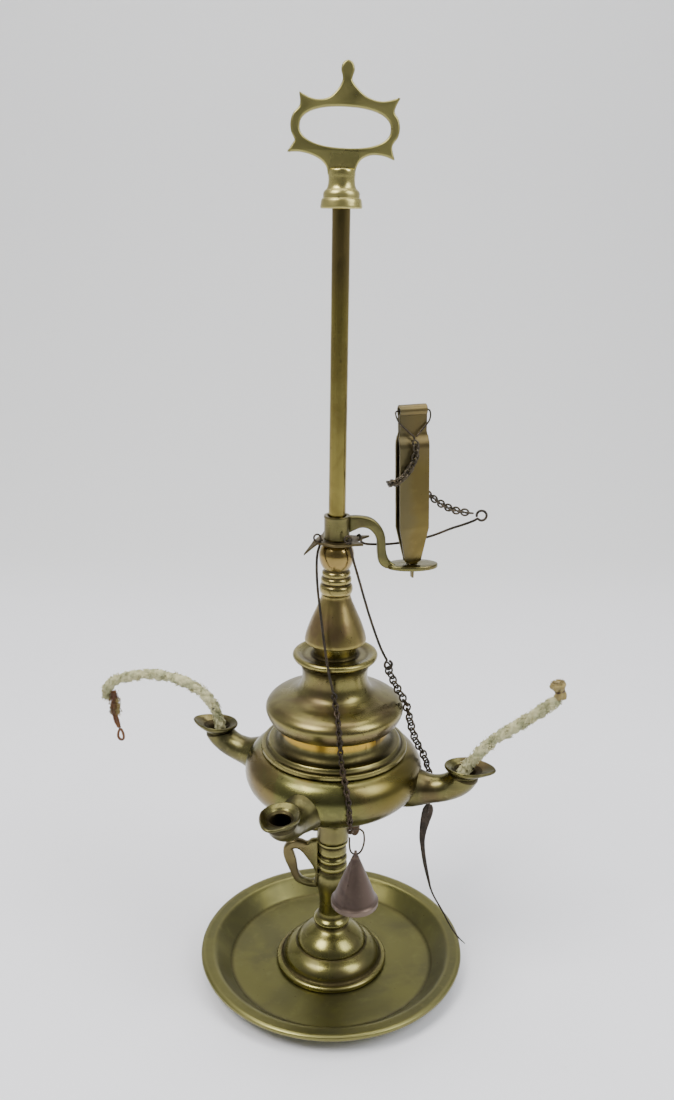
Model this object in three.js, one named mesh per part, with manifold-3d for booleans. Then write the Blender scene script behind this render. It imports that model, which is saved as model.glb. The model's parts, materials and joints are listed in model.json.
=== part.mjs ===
// Brass rod lamp with a four-spout oil reservoir, after the table lamps that burn olive oil.
// Millimetres, +Z up. The origin is on the table, at the centre of the tray's underside, on the
// axis of the rod. +X is to the right of a viewer who stands at -Y.
import * as THREE from 'three';
import { mergeVertices } from 'three/addons/utils/BufferGeometryUtils.js';
import Module from 'manifold-3d';

const wasm = await Module();
wasm.setup();

// ---------------------------------------------------------------- driving dimensions
const GAP = 0.3;
const RING_SIDES = 28;
const SMALL_SIDES = 18;

const ROD_RADIUS = 4.5;
const ROD_TOP = 446;
const FIXED_BORE = 4.9;
const SLIDING_BORE = 5.1;

const TRAY_FLOOR = 2.4;
const STEM_TOP = 83.8;
const COLLAR_BOTTOM = 84.1;
const COLLAR_TOP = 97.1;
const SCREW_HEIGHT = 92;

const BOWL_BOTTOM = 97.4;
const BOWL_TOP = 143.8;
const NECK_TOP = 163.2;
const OIL_TUBE_RADIUS = 6.4;
const OIL_TUBE_TOP = 197.2;
const COVER_BOTTOM = 161.6;
const COVER_WEB = 197.6;
const COVER_TOP = 207.8;
const CONE_TOP = 235.2;
const BALL_TOP = 263.9;

// Each spout's [azimuth, height of its bore where it leaves the bowl]; the right one sits lower.
const SPOUTS = { right: [-14.5, 125.2], back: [68, 127.6], left: [156.3, 127.6], front: [249.5, 127.6] };
const SPOUT_BORE = 5;
const SPOUT_SIDES = 12;
const MOUTH_BASE = 137.4;

const PLATE_BOTTOM = 264.2;
const PLATE_THICKNESS = 1.3;
const SLEEVE_BOTTOM = 265.9;
const SLEEVE_TOP = 278.8;
const SLEEVE_RADIUS = 6.95;
const BRACKET_AZIMUTH = 8;
const REST_TOP = 250.9;
const REST_THICKNESS = 2.3;
const REST_CENTRE = 41.1;

const STRIP_THICKNESS = 1.2;
const STRIP_WIDTH = 16.2;
const TWEEZERS_LEAN = 1.9;
const TWEEZERS_TURN = 7;

const FINIAL_BOTTOM = 431.9;
const RING_CENTRE = [1.3, 468.5];
const FINIAL_LEAN = 2.2;

const WIRE_RADIUS = 0.6;
const CHAIN_RADIUS = 1.7;
const WICK_RADIUS = 2.9;

// ---------------------------------------------------------------- materials
const metal = (color, roughness) => new THREE.MeshStandardMaterial({ color, roughness, metalness: 1 });
const AGED_BRASS = metal(0x8a7f45, 0.38);
const BRIGHT_BRASS = metal(0xb39a4a, 0.3);
const DARK_BRASS = metal(0x5c5136, 0.5);
const BROWN_SHEET = metal(0x5e4a40, 0.55);
const BLACK_WIRE = metal(0x33302b, 0.6);
const COTTON = new THREE.MeshStandardMaterial({ color: 0xd9d2bd, roughness: 0.95, metalness: 0 });
const THREAD = new THREE.MeshStandardMaterial({ color: 0x8a4f2c, roughness: 0.8, metalness: 0 });

// ---------------------------------------------------------------- solids
// A closed triangle mesh whose shared vertices are merged and whose faces point out.
function closedMesh(geometry) {
  const bare = geometry.clone();
  bare.deleteAttribute('normal');
  bare.deleteAttribute('uv');
  const merged = mergeVertices(bare, 1e-4);
  const position = merged.attributes.position.array;
  const corners = merged.index.array;
  const index = [];
  let volume = 0;
  const [a, b, c] = [new THREE.Vector3(), new THREE.Vector3(), new THREE.Vector3()];
  for (let i = 0; i < corners.length; i += 3) {
    const [p, q, r] = [corners[i], corners[i + 1], corners[i + 2]];
    if (p === q || q === r || r === p) continue;
    index.push(p, q, r);
    a.fromArray(position, 3 * p);
    b.fromArray(position, 3 * q);
    c.fromArray(position, 3 * r);
    volume += a.dot(b.cross(c));
  }
  if (volume < 0) index.reverse();
  return { position: new Float32Array(position), index: new Uint32Array(index) };
}

function solid(geometry) {
  const { position, index } = closedMesh(geometry);
  return new wasm.Manifold(new wasm.Mesh({ numProp: 3, vertProperties: position, triVerts: index }));
}

function geometryOf(body) {
  const mesh = body.getMesh();
  const geometry = new THREE.BufferGeometry();
  geometry.setAttribute('position', new THREE.BufferAttribute(mesh.vertProperties, 3));
  geometry.setIndex(new THREE.BufferAttribute(mesh.triVerts, 1));
  geometry.computeVertexNormals();
  return geometry;
}

const joined = (first, ...others) => others.reduce((sum, other) => sum.add(solid(other)), solid(first));
const degrees = (angle) => THREE.MathUtils.degToRad(angle);
const vectors = (points) => points.map(([x, y, z]) => new THREE.Vector3(x, y, z));

// A profile of [radius, height] pairs turned about Z. It starts and ends on the axis or is a ring.
function lathe(profile, sides = RING_SIDES) {
  const outline = profile[0][0] > 0 ? [...profile, profile[0]] : profile;
  const points = outline.map(([radius, height]) => new THREE.Vector2(radius, height));
  return new THREE.LatheGeometry(points, sides).rotateX(Math.PI / 2);
}

// A solid cylinder along Z between two heights.
function post(radius, bottom, top, sides = SMALL_SIDES) {
  return lathe([[0, bottom], [radius, bottom], [radius, top], [0, top]], sides);
}

// A round bar along a smooth curve through the points.
function bar(points, radius, spacing = radius < 1 ? 5 * radius : 3.4 * radius) {
  const sides = 8;
  const section = Array.from({ length: sides }, (_, i) => {
    const angle = (2 * Math.PI * i) / sides;
    return new THREE.Vector2(radius * Math.cos(angle), radius * Math.sin(angle));
  });
  const extrudePath = new THREE.CatmullRomCurve3(vectors(points), false, 'centripetal');
  const steps = Math.ceil(extrudePath.getLength() / spacing);
  return new THREE.ExtrudeGeometry(new THREE.Shape(section), { steps, extrudePath, bevelEnabled: false });
}

// A flat plate whose outline is drawn in X and Z, centred on Y = 0.
function uprightPlate(shape, thickness, curveSegments = 6) {
  const geometry = new THREE.ExtrudeGeometry(shape, { depth: thickness, bevelEnabled: false, curveSegments });
  return geometry.translate(0, 0, -thickness / 2).rotateX(Math.PI / 2);
}

// A skin over rings of equal point count: capped at both ends, or joined end to end.
function skin(rings, endless = false) {
  const count = rings[0].length;
  const position = rings.flat().flatMap((point) => point.toArray());
  const index = [];
  const bands = endless ? rings.length : rings.length - 1;
  for (let band = 0; band < bands; band++) {
    const low = band * count;
    const high = ((band + 1) % rings.length) * count;
    for (let i = 0; i < count; i++) {
      const next = (i + 1) % count;
      index.push(low + i, high + i, high + next, low + i, high + next, low + next);
    }
  }
  if (!endless) {
    const last = (rings.length - 1) * count;
    for (let i = 1; i < count - 1; i++) {
      index.push(0, i, i + 1, last, last + i + 1, last + i);
    }
  }
  const geometry = new THREE.BufferGeometry();
  geometry.setAttribute('position', new THREE.Float32BufferAttribute(position, 3));
  geometry.setIndex(index);
  return geometry;
}

const lamp = new THREE.Group();

function add(name, shape, material, parent = lamp) {
  const body = shape.isBufferGeometry ? solid(shape) : shape;
  const mesh = new THREE.Mesh(geometryOf(body), material);
  mesh.name = name;
  parent.add(mesh);
}

// ---------------------------------------------------------------- tray, stem and rod
function tray() {
  return lathe([
    [FIXED_BORE, 0], [59, 0], [60.8, 0.6], [69.4, 9], [74.6, 9.3], [76.4, 8.7], [77.5, 9.4],
    [77.6, 11.2], [76.3, 12.2], [70.2, 12], [68.8, 11.2], [60.2, 3.1], [58.7, TRAY_FLOOR],
    [FIXED_BORE, TRAY_FLOOR],
  ], 36);
}

// The rod's lower end is peened over in the tray's hole and lies flush with its underside.
function rod() {
  return post(ROD_RADIUS, 0, ROD_TOP);
}

const STEM_PROFILE = [
  [32.6, TRAY_FLOOR + GAP], [32.6, 4.4], [32, 5.2], [30.8, 5.5], [28.8, 6.3], [27.4, 9.2], [24.6, 12.6],
  [21, 14.6], [20.4, 16], [18.4, 19.4], [14.6, 22.8], [10.4, 25.4], [8.4, 27.4], [10.3, 28.8], [10.8, 30.4],
  [9.6, 32], [7.7, 34.6], [7.3, 40], [7.6, 46.5], [8.7, 52.5], [9.2, 57.5], [8.8, 61.8], [7.7, 64.2],
  [8.6, 65.8], [8.6, 68], [7.8, 69.6], [8.5, 70.8], [8.5, 73], [7.4, 74.2], [8.3, 75.6], [8, 79.4],
  [8.3, 81.8], [9, 82.6], [9, STEM_TOP],
];

function stem() {
  return lathe([[FIXED_BORE, TRAY_FLOOR + GAP], ...STEM_PROFILE, [FIXED_BORE, STEM_TOP]], 20);
}

// A cast ear on the stem's left, cut to lie against the stem.
function earHandle() {
  const outline = new THREE.Shape();
  outline.moveTo(-6, 83.6);
  outline.splineThru([[-12.3, 83.2], [-14.9, 81.6], [-17.8, 82.8], [-21.3, 83.4], [-25.2, 81.9], [-28, 79],
    [-28.8, 75.4], [-28, 70.6], [-25.8, 65], [-23.6, 59.4], [-21.4, 55.4], [-17.1, 53], [-12.6, 51.7],
    [-6, 51.6]].map(([x, z]) => new THREE.Vector2(x, z)));
  outline.lineTo(-6, 83.6);
  const hole = new THREE.Path();
  hole.moveTo(-23.2, 77);
  hole.splineThru([[-21, 77.4], [-18.2, 75.6], [-15, 71.2], [-12.2, 66.8], [-10.2, 62.4], [-9.6, 58.2],
    [-11, 56.1], [-14.4, 56.3], [-18, 58.2], [-19.9, 62.4], [-21.2, 70.5], [-23.2, 77]]
    .map(([x, z]) => new THREE.Vector2(x, z)));
  outline.holes.push(hole);
  const plate = uprightPlate(outline, 4.6, 2);
  const clearance = lathe([[0, 2], ...STEM_PROFILE.map(([r, z]) => [r + GAP, z]), [0, STEM_TOP]], 20);
  return solid(plate).subtract(solid(clearance));
}

// ---------------------------------------------------------------- height collar and its screw
function heightCollar() {
  const ring = lathe([
    [0, COLLAR_BOTTOM], [8.9, COLLAR_BOTTOM], [9.1, 85], [9.3, 86.4], [9.3, 95.6], [8.8, COLLAR_TOP],
    [0, COLLAR_TOP],
  ], SMALL_SIDES);
  const boss = post(3, 0, 12.7, 12).rotateY(-Math.PI / 2).translate(0, 0, SCREW_HEIGHT);
  const screwHole = post(1.9, 0, 12, 12).rotateY(Math.PI / 2).translate(0, 0, SCREW_HEIGHT);
  const bore = post(SLIDING_BORE, COLLAR_BOTTOM - 1, COLLAR_TOP + 1);
  return joined(ring, boss).subtract(solid(bore)).subtract(solid(screwHole));
}

function thumbscrew() {
  const shank = post(1.6, ROD_RADIUS + GAP, 11.5, 12).rotateY(Math.PI / 2).translate(0, 0, SCREW_HEIGHT);
  const wing = new THREE.Shape();
  wing.absellipse(12.7, SCREW_HEIGHT - 0.8, 2.9, 5, 0, 2 * Math.PI);
  return joined(shank, uprightPlate(wing, 2.4, 18));
}

// ---------------------------------------------------------------- reservoir
// A shallow bowl on a short neck that stands on the height collar.
const BOWL_PROFILE = [
  [9.4, BOWL_BOTTOM], [9.4, 102.5], [10.4, 107], [13.6, 109.7], [22, 110.6], [31, 112], [38.5, 115],
  [44.5, 119.4], [48.6, 124.8], [49.9, 130], [48.9, 136], [45.6, 140.9], [42.2, 143.3], [40.3, BOWL_TOP],
];

function alongSpout(geometry, azimuth) {
  return geometry.rotateZ(degrees(azimuth));
}

function reservoirBowl() {
  const shell = lathe([
    [OIL_TUBE_RADIUS + GAP, BOWL_BOTTOM], ...BOWL_PROFILE, [38.6, BOWL_TOP], [39.6, 142.4], [44.3, 139.8],
    [47.3, 135.2], [48.2, 130], [47.1, 125.7], [43.4, 120.8], [37.8, 116.7], [30.6, 113.7], [22, 112.3],
    [OIL_TUBE_RADIUS + GAP, 112],
  ]);
  let bowl = solid(shell);
  for (const [azimuth, height] of Object.values(SPOUTS)) {
    const hole = post(SPOUT_BORE, 38, 53, SPOUT_SIDES).rotateY(Math.PI / 2).translate(0, 0, height);
    bowl = bowl.subtract(solid(alongSpout(hole, azimuth)));
  }
  return bowl;
}

// The upper plate is soldered on at the groove, and its neck stands up inside the cover.
function reservoirNeck() {
  const base = BOWL_TOP + GAP;
  return lathe([
    [38.5, base], [40.3, base], [40.9, 145], [40.9, 146.1], [40.1, 146.9], [37.9, 147.3], [37.2, 148.3],
    [36.3, 149.1], [34.6, 149.3], [32, 150.3], [30.5, 152.6], [30, 156], [30, NECK_TOP], [28.5, NECK_TOP],
    [28.5, 152], [30.5, 148.8], [34, 147.1], [38, 145.6],
  ]);
}

function oilTube() {
  return lathe([
    [FIXED_BORE + 0.1, BOWL_BOTTOM], [OIL_TUBE_RADIUS, BOWL_BOTTOM], [OIL_TUBE_RADIUS, OIL_TUBE_TOP],
    [FIXED_BORE + 0.1, OIL_TUBE_TOP],
  ], SMALL_SIDES);
}

// One ring of a spout: at a distance out from the lamp's axis and a height, facing along the tube.
// The ring reaches inward, outward and sideways by its own amounts, and may come to a point outward.
function spoutRing([out, height, tilt, inward, outward = inward, sideways = inward, point = 0]) {
  return Array.from({ length: SPOUT_SIDES }, (_, i) => {
    const angle = (2 * Math.PI * i) / SPOUT_SIDES;
    const reach = Math.cos(angle) * (Math.cos(angle) > 0 ? outward : inward);
    const side = Math.sin(angle) * sideways * (1 - point * Math.max(0, Math.cos(angle)));
    const [sin, cos] = [Math.sin(degrees(tilt)), Math.cos(degrees(tilt))];
    return new THREE.Vector3(out + reach * sin, side, height - reach * cos);
  });
}

// Stations of a spout: distance out, share of the rise from bore to mouth, tilt and outer radius.
const SPOUT_BEND = [
  [40, 0, 0, 12], [46, 0, 0, 11.2], [50.5, 0, 1, 9.8], [55.5, 0.03, 5, 8.4], [61.5, 0.13, 16, 7.7],
  [67.2, 0.33, 35, 7.6], [71.6, 0.62, 55, 7.9], [74, 0.91, 75, 8.1],
];
const rise = (bore, share) => bore + share * (MOUTH_BASE - bore);

function spout(azimuth, bore) {
  const path = SPOUT_BEND.map(([out, share, tilt]) => [out, rise(bore, share), tilt]);
  const tube = path.map((station, i) => [...station, SPOUT_BEND[i][3]]);
  const mouth = [
    [74.5, MOUTH_BASE, 85, 7.5], [75, 138.4, 90, 8.3], [76, 140, 90, 11.2, 11.7, 9.2, 0.15],
    [76.9, 141.4, 90, 13.9, 14.3, 10.3, 0.3], [76.9, 142.7, 90, 13.9, 14.3, 10.3, 0.3],
    [76.8, 142.4, 90, 12.2, 12.6, 8.8, 0.3], [76, 140.9, 90, 8.4, 8.8, 7.2, 0.1], [75, 139.2, 88, 5.4],
  ];
  const channel = [...path].reverse().map((station) => [...station, SPOUT_BORE]);
  const body = skin([...tube, ...mouth, ...channel].map(spoutRing), true);
  const belly = lathe([[0, BOWL_BOTTOM], ...BOWL_PROFILE.map(([r, z]) => [r + GAP, z]), [0, BOWL_TOP]]);
  return solid(alongSpout(body, azimuth)).subtract(solid(belly));
}

// ---------------------------------------------------------------- cover, cone and ball
function cover() {
  return lathe([
    [35.2, COVER_BOTTOM], [36.3, 163.2], [37.7, 166.2], [38.2, 168.2], [38.1, 170], [37, 172],
    [34.5, 174], [30.5, 175.6], [25.5, 177.2], [21, 179.6], [18.8, 183], [18, 187], [18.3, 191.5], [19.5, 195],
    [21.4, 197.2], [22.9, 198.5], [23.3, 199.9], [22.7, 201.2], [21, 201.3], [17, 200.4], [12.2, 200.3],
    [11.8, 201], [11.8, COVER_TOP], [SLIDING_BORE, COVER_TOP], [SLIDING_BORE, COVER_WEB],
    [14.6, COVER_WEB], [16.5, 195.4], [16.3, 188], [16.9, 184], [17.4, 181.4], [19.7, 178.2],
    [24.7, 175.6], [29.7, 174], [33.4, 172.5], [35.4, 171], [36.3, 169.2], [36.4, 168], [36, 166.4], [34.6, 163.4], [33.7, COVER_BOTTOM],
  ]);
}

function cone() {
  const base = COVER_TOP + GAP;
  return lathe([
    [SLIDING_BORE, base], [16.4, base], [16.8, 209.2], [15.7, 214], [13.3, 220.5], [10.7, 226.5],
    [8.6, 231.2], [7.9, CONE_TOP], [SLIDING_BORE, CONE_TOP],
  ], 20);
}

function ringedBall() {
  const base = CONE_TOP + GAP;
  return lathe([
    [SLIDING_BORE, base], [8, base], [8.7, 236.6], [8.9, 238.6], [8.5, 240.4], [7.6, 241.1], [8.1, 242.2],
    [8.2, 243.9], [7.6, 245], [7.6, 246.2], [7.5, 247.8], [6.9, 248.6], [7.3, 249.8], [8.5, 252.3],
    [9.3, 255.6], [9.3, 258.4], [8.4, 261.3], [6.8, 263.4], [SLIDING_BORE, BALL_TOP],
  ], SMALL_SIDES);
}

// ---------------------------------------------------------------- chain plate, wires and chains
// A thin star washer, [azimuth, radius] for each tip, with one tip bent down beside the ball.
const PLATE_TIPS = [[25, 19.5], [115, 17], [200, 18.6], [329, 16.5]];
const PLATE_WAIST = 11;
const WIRE_HOLES = [[-8.9, -5.8], [6.9, -8], [12.6, 2.7]];

function chainPlate() {
  const star = new THREE.Shape();
  PLATE_TIPS.forEach(([azimuth, reach], i) => {
    const next = i + 1 < PLATE_TIPS.length ? PLATE_TIPS[i + 1][0] : PLATE_TIPS[0][0] + 360;
    const corners = [[azimuth, reach], [azimuth + 14, 12.6], [(azimuth + next) / 2, PLATE_WAIST], [next - 14, 12.6]];
    for (const [angle, radius] of corners) {
      const [x, y] = [radius * Math.cos(degrees(angle)), radius * Math.sin(degrees(angle))];
      if (star.curves.length || star.currentPoint.length()) star.lineTo(x, y);
      else star.moveTo(x, y);
    }
  });
  const flat = new THREE.ExtrudeGeometry(star, { depth: PLATE_THICKNESS, bevelEnabled: false });
  flat.translate(0, 0, PLATE_BOTTOM);
  const bent = flat.attributes.position;
  const [bentX, bentY] = [Math.cos(degrees(200)), Math.sin(degrees(200))];
  for (let i = 0; i < bent.count; i++) {
    const along = bent.getX(i) * bentX + bent.getY(i) * bentY;
    bent.setZ(i, bent.getZ(i) - 0.95 * Math.max(0, along - 11.8));
  }
  let plate = solid(flat).subtract(solid(post(SLIDING_BORE + 0.1, PLATE_BOTTOM - 5, PLATE_BOTTOM + 5)));
  for (const [x, y] of WIRE_HOLES) {
    plate = plate.subtract(solid(post(1.1, PLATE_BOTTOM - 5, PLATE_BOTTOM + 5, 10).translate(x, y, 0)));
  }
  return plate;
}

const SNUFFER_WIRE = [
  [-7.5, -6.3, 266.6], [-8.5, -6, 267.3], [-8.9, -5.8, 266], [-8.9, -5.9, 264], [-9.8, -6.9, 261],
  [-10.3, -8.2, 257], [-10.3, -9.6, 251], [-9.6, -12, 241], [-8.4, -14.6, 232], [-6.1, -19.6, 216],
  [-3.9, -24.4, 203], [-3.1, -24.9, 199], [-1.6, -25.1, 192], [-0.6, -25.3, 186.6],
];
const PICK_WIRE = [
  [5.4, -7.6, 266.6], [6.2, -8, 267.3], [6.9, -8, 266], [7, -8, 264], [7.8, -8.2, 261], [9, -8, 256],
  [11.3, -7.3, 248], [18.3, -6.2, 224], [24.6, -5.4, 206], [27.2, -5.2, 200.5], [28.1, -5, 197.8],
];
const TETHER_WIRE = [
  [11, 3.4, 266.5], [12, 3, 267.3], [12.6, 2.7, 266], [12.8, 2.7, 264], [14.4, 3.6, 262.4],
  [21.5, 7.8, 260.6], [33.9, 11.6, 260.4], [50.4, 12.4, 264.1], [61.9, 10.5, 269.4], [68.7, 7.5, 272.8],
  [73.4, 5.2, 275.6],
];
const SNUFFER_CHAIN = [
  [-0.3, -25.7, 185.4], [0.3, -26.6, 182.8], [1, -29.6, 180.4], [1.8, -34.8, 177.6], [2.4, -38.6, 173.6],
  [2.8, -40.2, 169.3], [3.2, -40.4, 164.5], [3.9, -41, 157], [4.8, -42.4, 151], [5.7, -43.5, 147.2],
  [6.5, -46.2, 144], [7.9, -50.1, 138.4], [8.6, -51.5, 131], [9, -51.6, 125.5], [9.5, -51.6, 120.5],
];
const PICK_CHAIN = [
  [28.4, -4.8, 196.6], [29, -4, 193.6], [31, -3.5, 188.4], [34.4, -3.2, 181.2], [37.4, -3, 176],
  [39.6, -2.8, 171.4], [41.2, -2.4, 165.5], [43.2, -2, 157], [46, -2, 148.5], [49.5, -2, 142.2],
  [52.2, -2, 135.6], [54.1, -1.8, 128], [55.2, -1.8, 121], [55.7, -2.2, 114.5],
];

// A wire that ends in an eye, turned about the eye's centre in the XZ plane.
function wireWithEye(points, eyeCentre, eyeRadius) {
  const eye = Array.from({ length: 12 }, (_, i) => {
    const angle = degrees(215 + 27 * i);
    const [x, y, z] = eyeCentre;
    return [x + eyeRadius * Math.cos(angle), y + 0.12 * i, z + eyeRadius * Math.sin(angle)];
  });
  return bar([...points, ...eye], WIRE_RADIUS);
}

// ---------------------------------------------------------------- snuffer and pick
const SNUFFER_AXIS = [12.2, -51.6];

function snuffer() {
  const shell = lathe([
    [0, 106.6], [1.7, 106.5], [2.2, 105.2], [12, 80.8], [12.6, 80.3], [12.5, 77.4], [11.6, 77.4],
    [11.4, 80.2], [1.4, 104], [0, 104.2],
  ], SMALL_SIDES);
  const lug = new THREE.Shape();
  lug.absellipse(0, 107.6, 1.9, 2.1, 0, 2 * Math.PI);
  const eye = new THREE.Path();
  eye.absellipse(0, 107.9, 0.95, 0.95, 0, 2 * Math.PI);
  lug.holes.push(eye);
  const body = joined(shell, uprightPlate(lug, 1.5, 12).rotateZ(Math.PI / 2));
  return body.translate([...SNUFFER_AXIS, 0]);
}

const SNUFFER_LOOP = [
  [8.8, 117.6], [8.9, 113], [9.6, 109.4], [11, 107.9], [12.2, 107.85], [13.4, 107.9], [15.1, 109.8],
  [16.3, 113.5], [16.6, 117.6], [15.8, 121.4], [13.7, 122.9],
].map(([x, z]) => [x, SNUFFER_AXIS[1], z]);

// A flat blade that narrows to a wire point: [x, z, half width, half thickness].
const PICK_PATH = [
  [54.8, 108.4, 2, 0.6], [54.5, 105.6, 3, 0.6], [54, 102.6, 3.2, 0.6], [53, 97.5, 2.8, 0.6],
  [52.2, 92, 2.2, 0.6], [51.8, 86.1, 1.7, 0.6], [52.4, 79.5, 1.3, 0.6], [53.4, 72.8, 1.2, 0.6],
  [54.7, 66.1, 1.05, 0.6], [56.3, 59.4, 0.85, 0.55], [57.9, 52.8, 0.6, 0.5], [60.2, 47, 0.5, 0.45],
  [65.7, 36.8, 0.5, 0.45], [70.3, 27.6, 0.5, 0.45], [75.3, 19.4, 0.5, 0.45], [80.1, 14.2, 0.35, 0.3],
];
const PICK_SIDE = -2.8;
const PICK_HOLE = [54, 103.6];

function pick() {
  const rings = PICK_PATH.map(([x, z, wide, thick], i) => {
    const before = PICK_PATH[Math.max(0, i - 1)];
    const after = PICK_PATH[Math.min(PICK_PATH.length - 1, i + 1)];
    const along = new THREE.Vector3(after[0] - before[0], 0, after[1] - before[1]).normalize();
    const across = new THREE.Vector3(-along.z, 0, along.x);
    return Array.from({ length: 8 }, (_, k) => {
      const angle = (2 * Math.PI * k) / 8;
      const point = new THREE.Vector3(x, PICK_SIDE, z).addScaledVector(across, wide * Math.cos(angle));
      point.y += thick * Math.sin(angle);
      return point;
    });
  });
  const [holeX, holeZ] = PICK_HOLE;
  const hole = post(0.9, -3, 3, 10).rotateX(Math.PI / 2).translate(holeX, PICK_SIDE, holeZ);
  return solid(skin(rings)).subtract(solid(hole));
}

// ---------------------------------------------------------------- bracket and tweezers
function bracket() {
  const sleeve = post(SLEEVE_RADIUS, SLEEVE_BOTTOM, SLEEVE_TOP);
  const arm = new THREE.Shape();
  arm.moveTo(5, 278.4);
  arm.splineThru([[12, 278.2], [18.3, 276.8], [22.8, 273], [25.6, 267.6], [26.8, 257.4], [28.8, 253],
    [33, REST_TOP - 0.1]].map(([x, z]) => new THREE.Vector2(x, z)));
  arm.lineTo(33, REST_TOP - REST_THICKNESS + 0.1);
  arm.splineThru([[26.4, 248.9], [23, 251.8], [21.8, 257.2], [21, 265.8], [17.4, 270.6], [13.2, 271.8],
    [8.4, 270.2], [5, 269]].map(([x, z]) => new THREE.Vector2(x, z)));
  const rest = new THREE.Shape();
  rest.absellipse(0, 0, 14.1, 8, 0, 2 * Math.PI);
  const slot = new THREE.Path();
  slot.absellipse(0, 0, 3, 2.5, 0, 2 * Math.PI);
  rest.holes.push(slot);
  const restPlate = new THREE.ExtrudeGeometry(rest, { depth: REST_THICKNESS, bevelEnabled: false, curveSegments: 14 });
  restPlate.translate(REST_CENTRE, 0, REST_TOP - REST_THICKNESS);
  const bore = post(SLIDING_BORE, SLEEVE_BOTTOM - 1, SLEEVE_TOP + 1);
  return joined(sleeve, uprightPlate(arm, 4.6, 2), restPlate).subtract(solid(bore));
}

// One brass strip folded over at the top. Side view: [height, distance of the inner face from the middle].
const LEG_PROFILE = [[-8.2, 0.3], [0, 0.5], [20, 3.1], [65, 3.1], [69.5, 0.8], [79.5, 0.8]];
const ROLL_HEIGHT = 82.8;
const ROLL_RADIUS = 3.1;
const ROLL_BORE = 1.3;

function tweezers() {
  const side = new THREE.Shape();
  const outer = LEG_PROFILE.map(([z, y]) => [y + STRIP_THICKNESS, z]);
  const roll = [-35, 0, 35, 70].map((angle) => [
    ROLL_RADIUS * Math.cos(degrees(angle)), ROLL_HEIGHT + ROLL_RADIUS * Math.sin(degrees(angle)),
  ]);
  const right = [...outer, ...roll];
  const left = right.map(([y, z]) => [-y, z]).reverse();
  const inner = LEG_PROFILE.map(([z, y]) => [y, z]);
  const innerLoop = [...inner.map(([y, z]) => [-y, z]), ...[...inner].reverse()];
  const outline = [...right, ...left, ...innerLoop];
  side.setFromPoints(outline.map(([y, z]) => new THREE.Vector2(y, z)));
  const rollBore = new THREE.Path();
  rollBore.absellipse(0, ROLL_HEIGHT, ROLL_BORE, ROLL_BORE, 0, 2 * Math.PI);
  side.holes.push(rollBore);
  const strip = uprightPlate(side, STRIP_WIDTH + 2, 6).rotateZ(Math.PI / 2);

  const half = STRIP_WIDTH / 2;
  const front = new THREE.Shape();
  const rightEdge = [[0.9, -8.2], [1, 0], [4.3, 0.3], [half, 20], [half, 69.3], [half - 0.8, 71], [half - 0.6, 87]];
  const leftEdge = rightEdge.map(([x, z]) => [-x, z]).reverse();
  front.setFromPoints([...rightEdge, ...leftEdge].map(([x, z]) => new THREE.Vector2(x, z)));
  const body = solid(strip).intersect(solid(uprightPlate(front, 20)));
  return body.rotate([0, -TWEEZERS_LEAN, TWEEZERS_TURN]).translate([REST_CENTRE, 0, REST_TOP + GAP]);
}

function tweezersBail() {
  const side = [[0.8, -3.6, 70.8], [4.4, -3.4, 73.6], [8.2, -2.8, 77.4], [9.3, -1.5, 80.6], [9, -0.2, 82.4],
    [7.4, 0, ROLL_HEIGHT]];
  const other = side.map(([x, y, z]) => [-x, y, z]).reverse();
  const wire = bar([...side, ...other], 0.55);
  return solid(wire).rotate([0, -TWEEZERS_LEAN, TWEEZERS_TURN]).translate([REST_CENTRE, 0, REST_TOP + GAP]);
}

const TWEEZERS_CHAIN = [
  [39, -7, 319], [39.6, -7.3, 314], [38.5, -7.5, 308.5], [35.5, -7.8, 303], [32.2, -8, 299.4],
  [29.4, -6.6, 297.2], [28.1, -3, 296], [28, 0.5, 295.2], [28.9, 4.6, 294.5], [31.9, 7.1, 293.8],
  [36, 7.7, 292.8], [40, 8.1, 291], [45, 8.5, 289.2], [50, 7.8, 287], [53.6, 4.8, 284.6],
  [57.5, 1.2, 282.4], [62.5, -2, 280.6], [67.5, -4, 279.8], [71, -4.9, 279.4],
];

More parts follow.
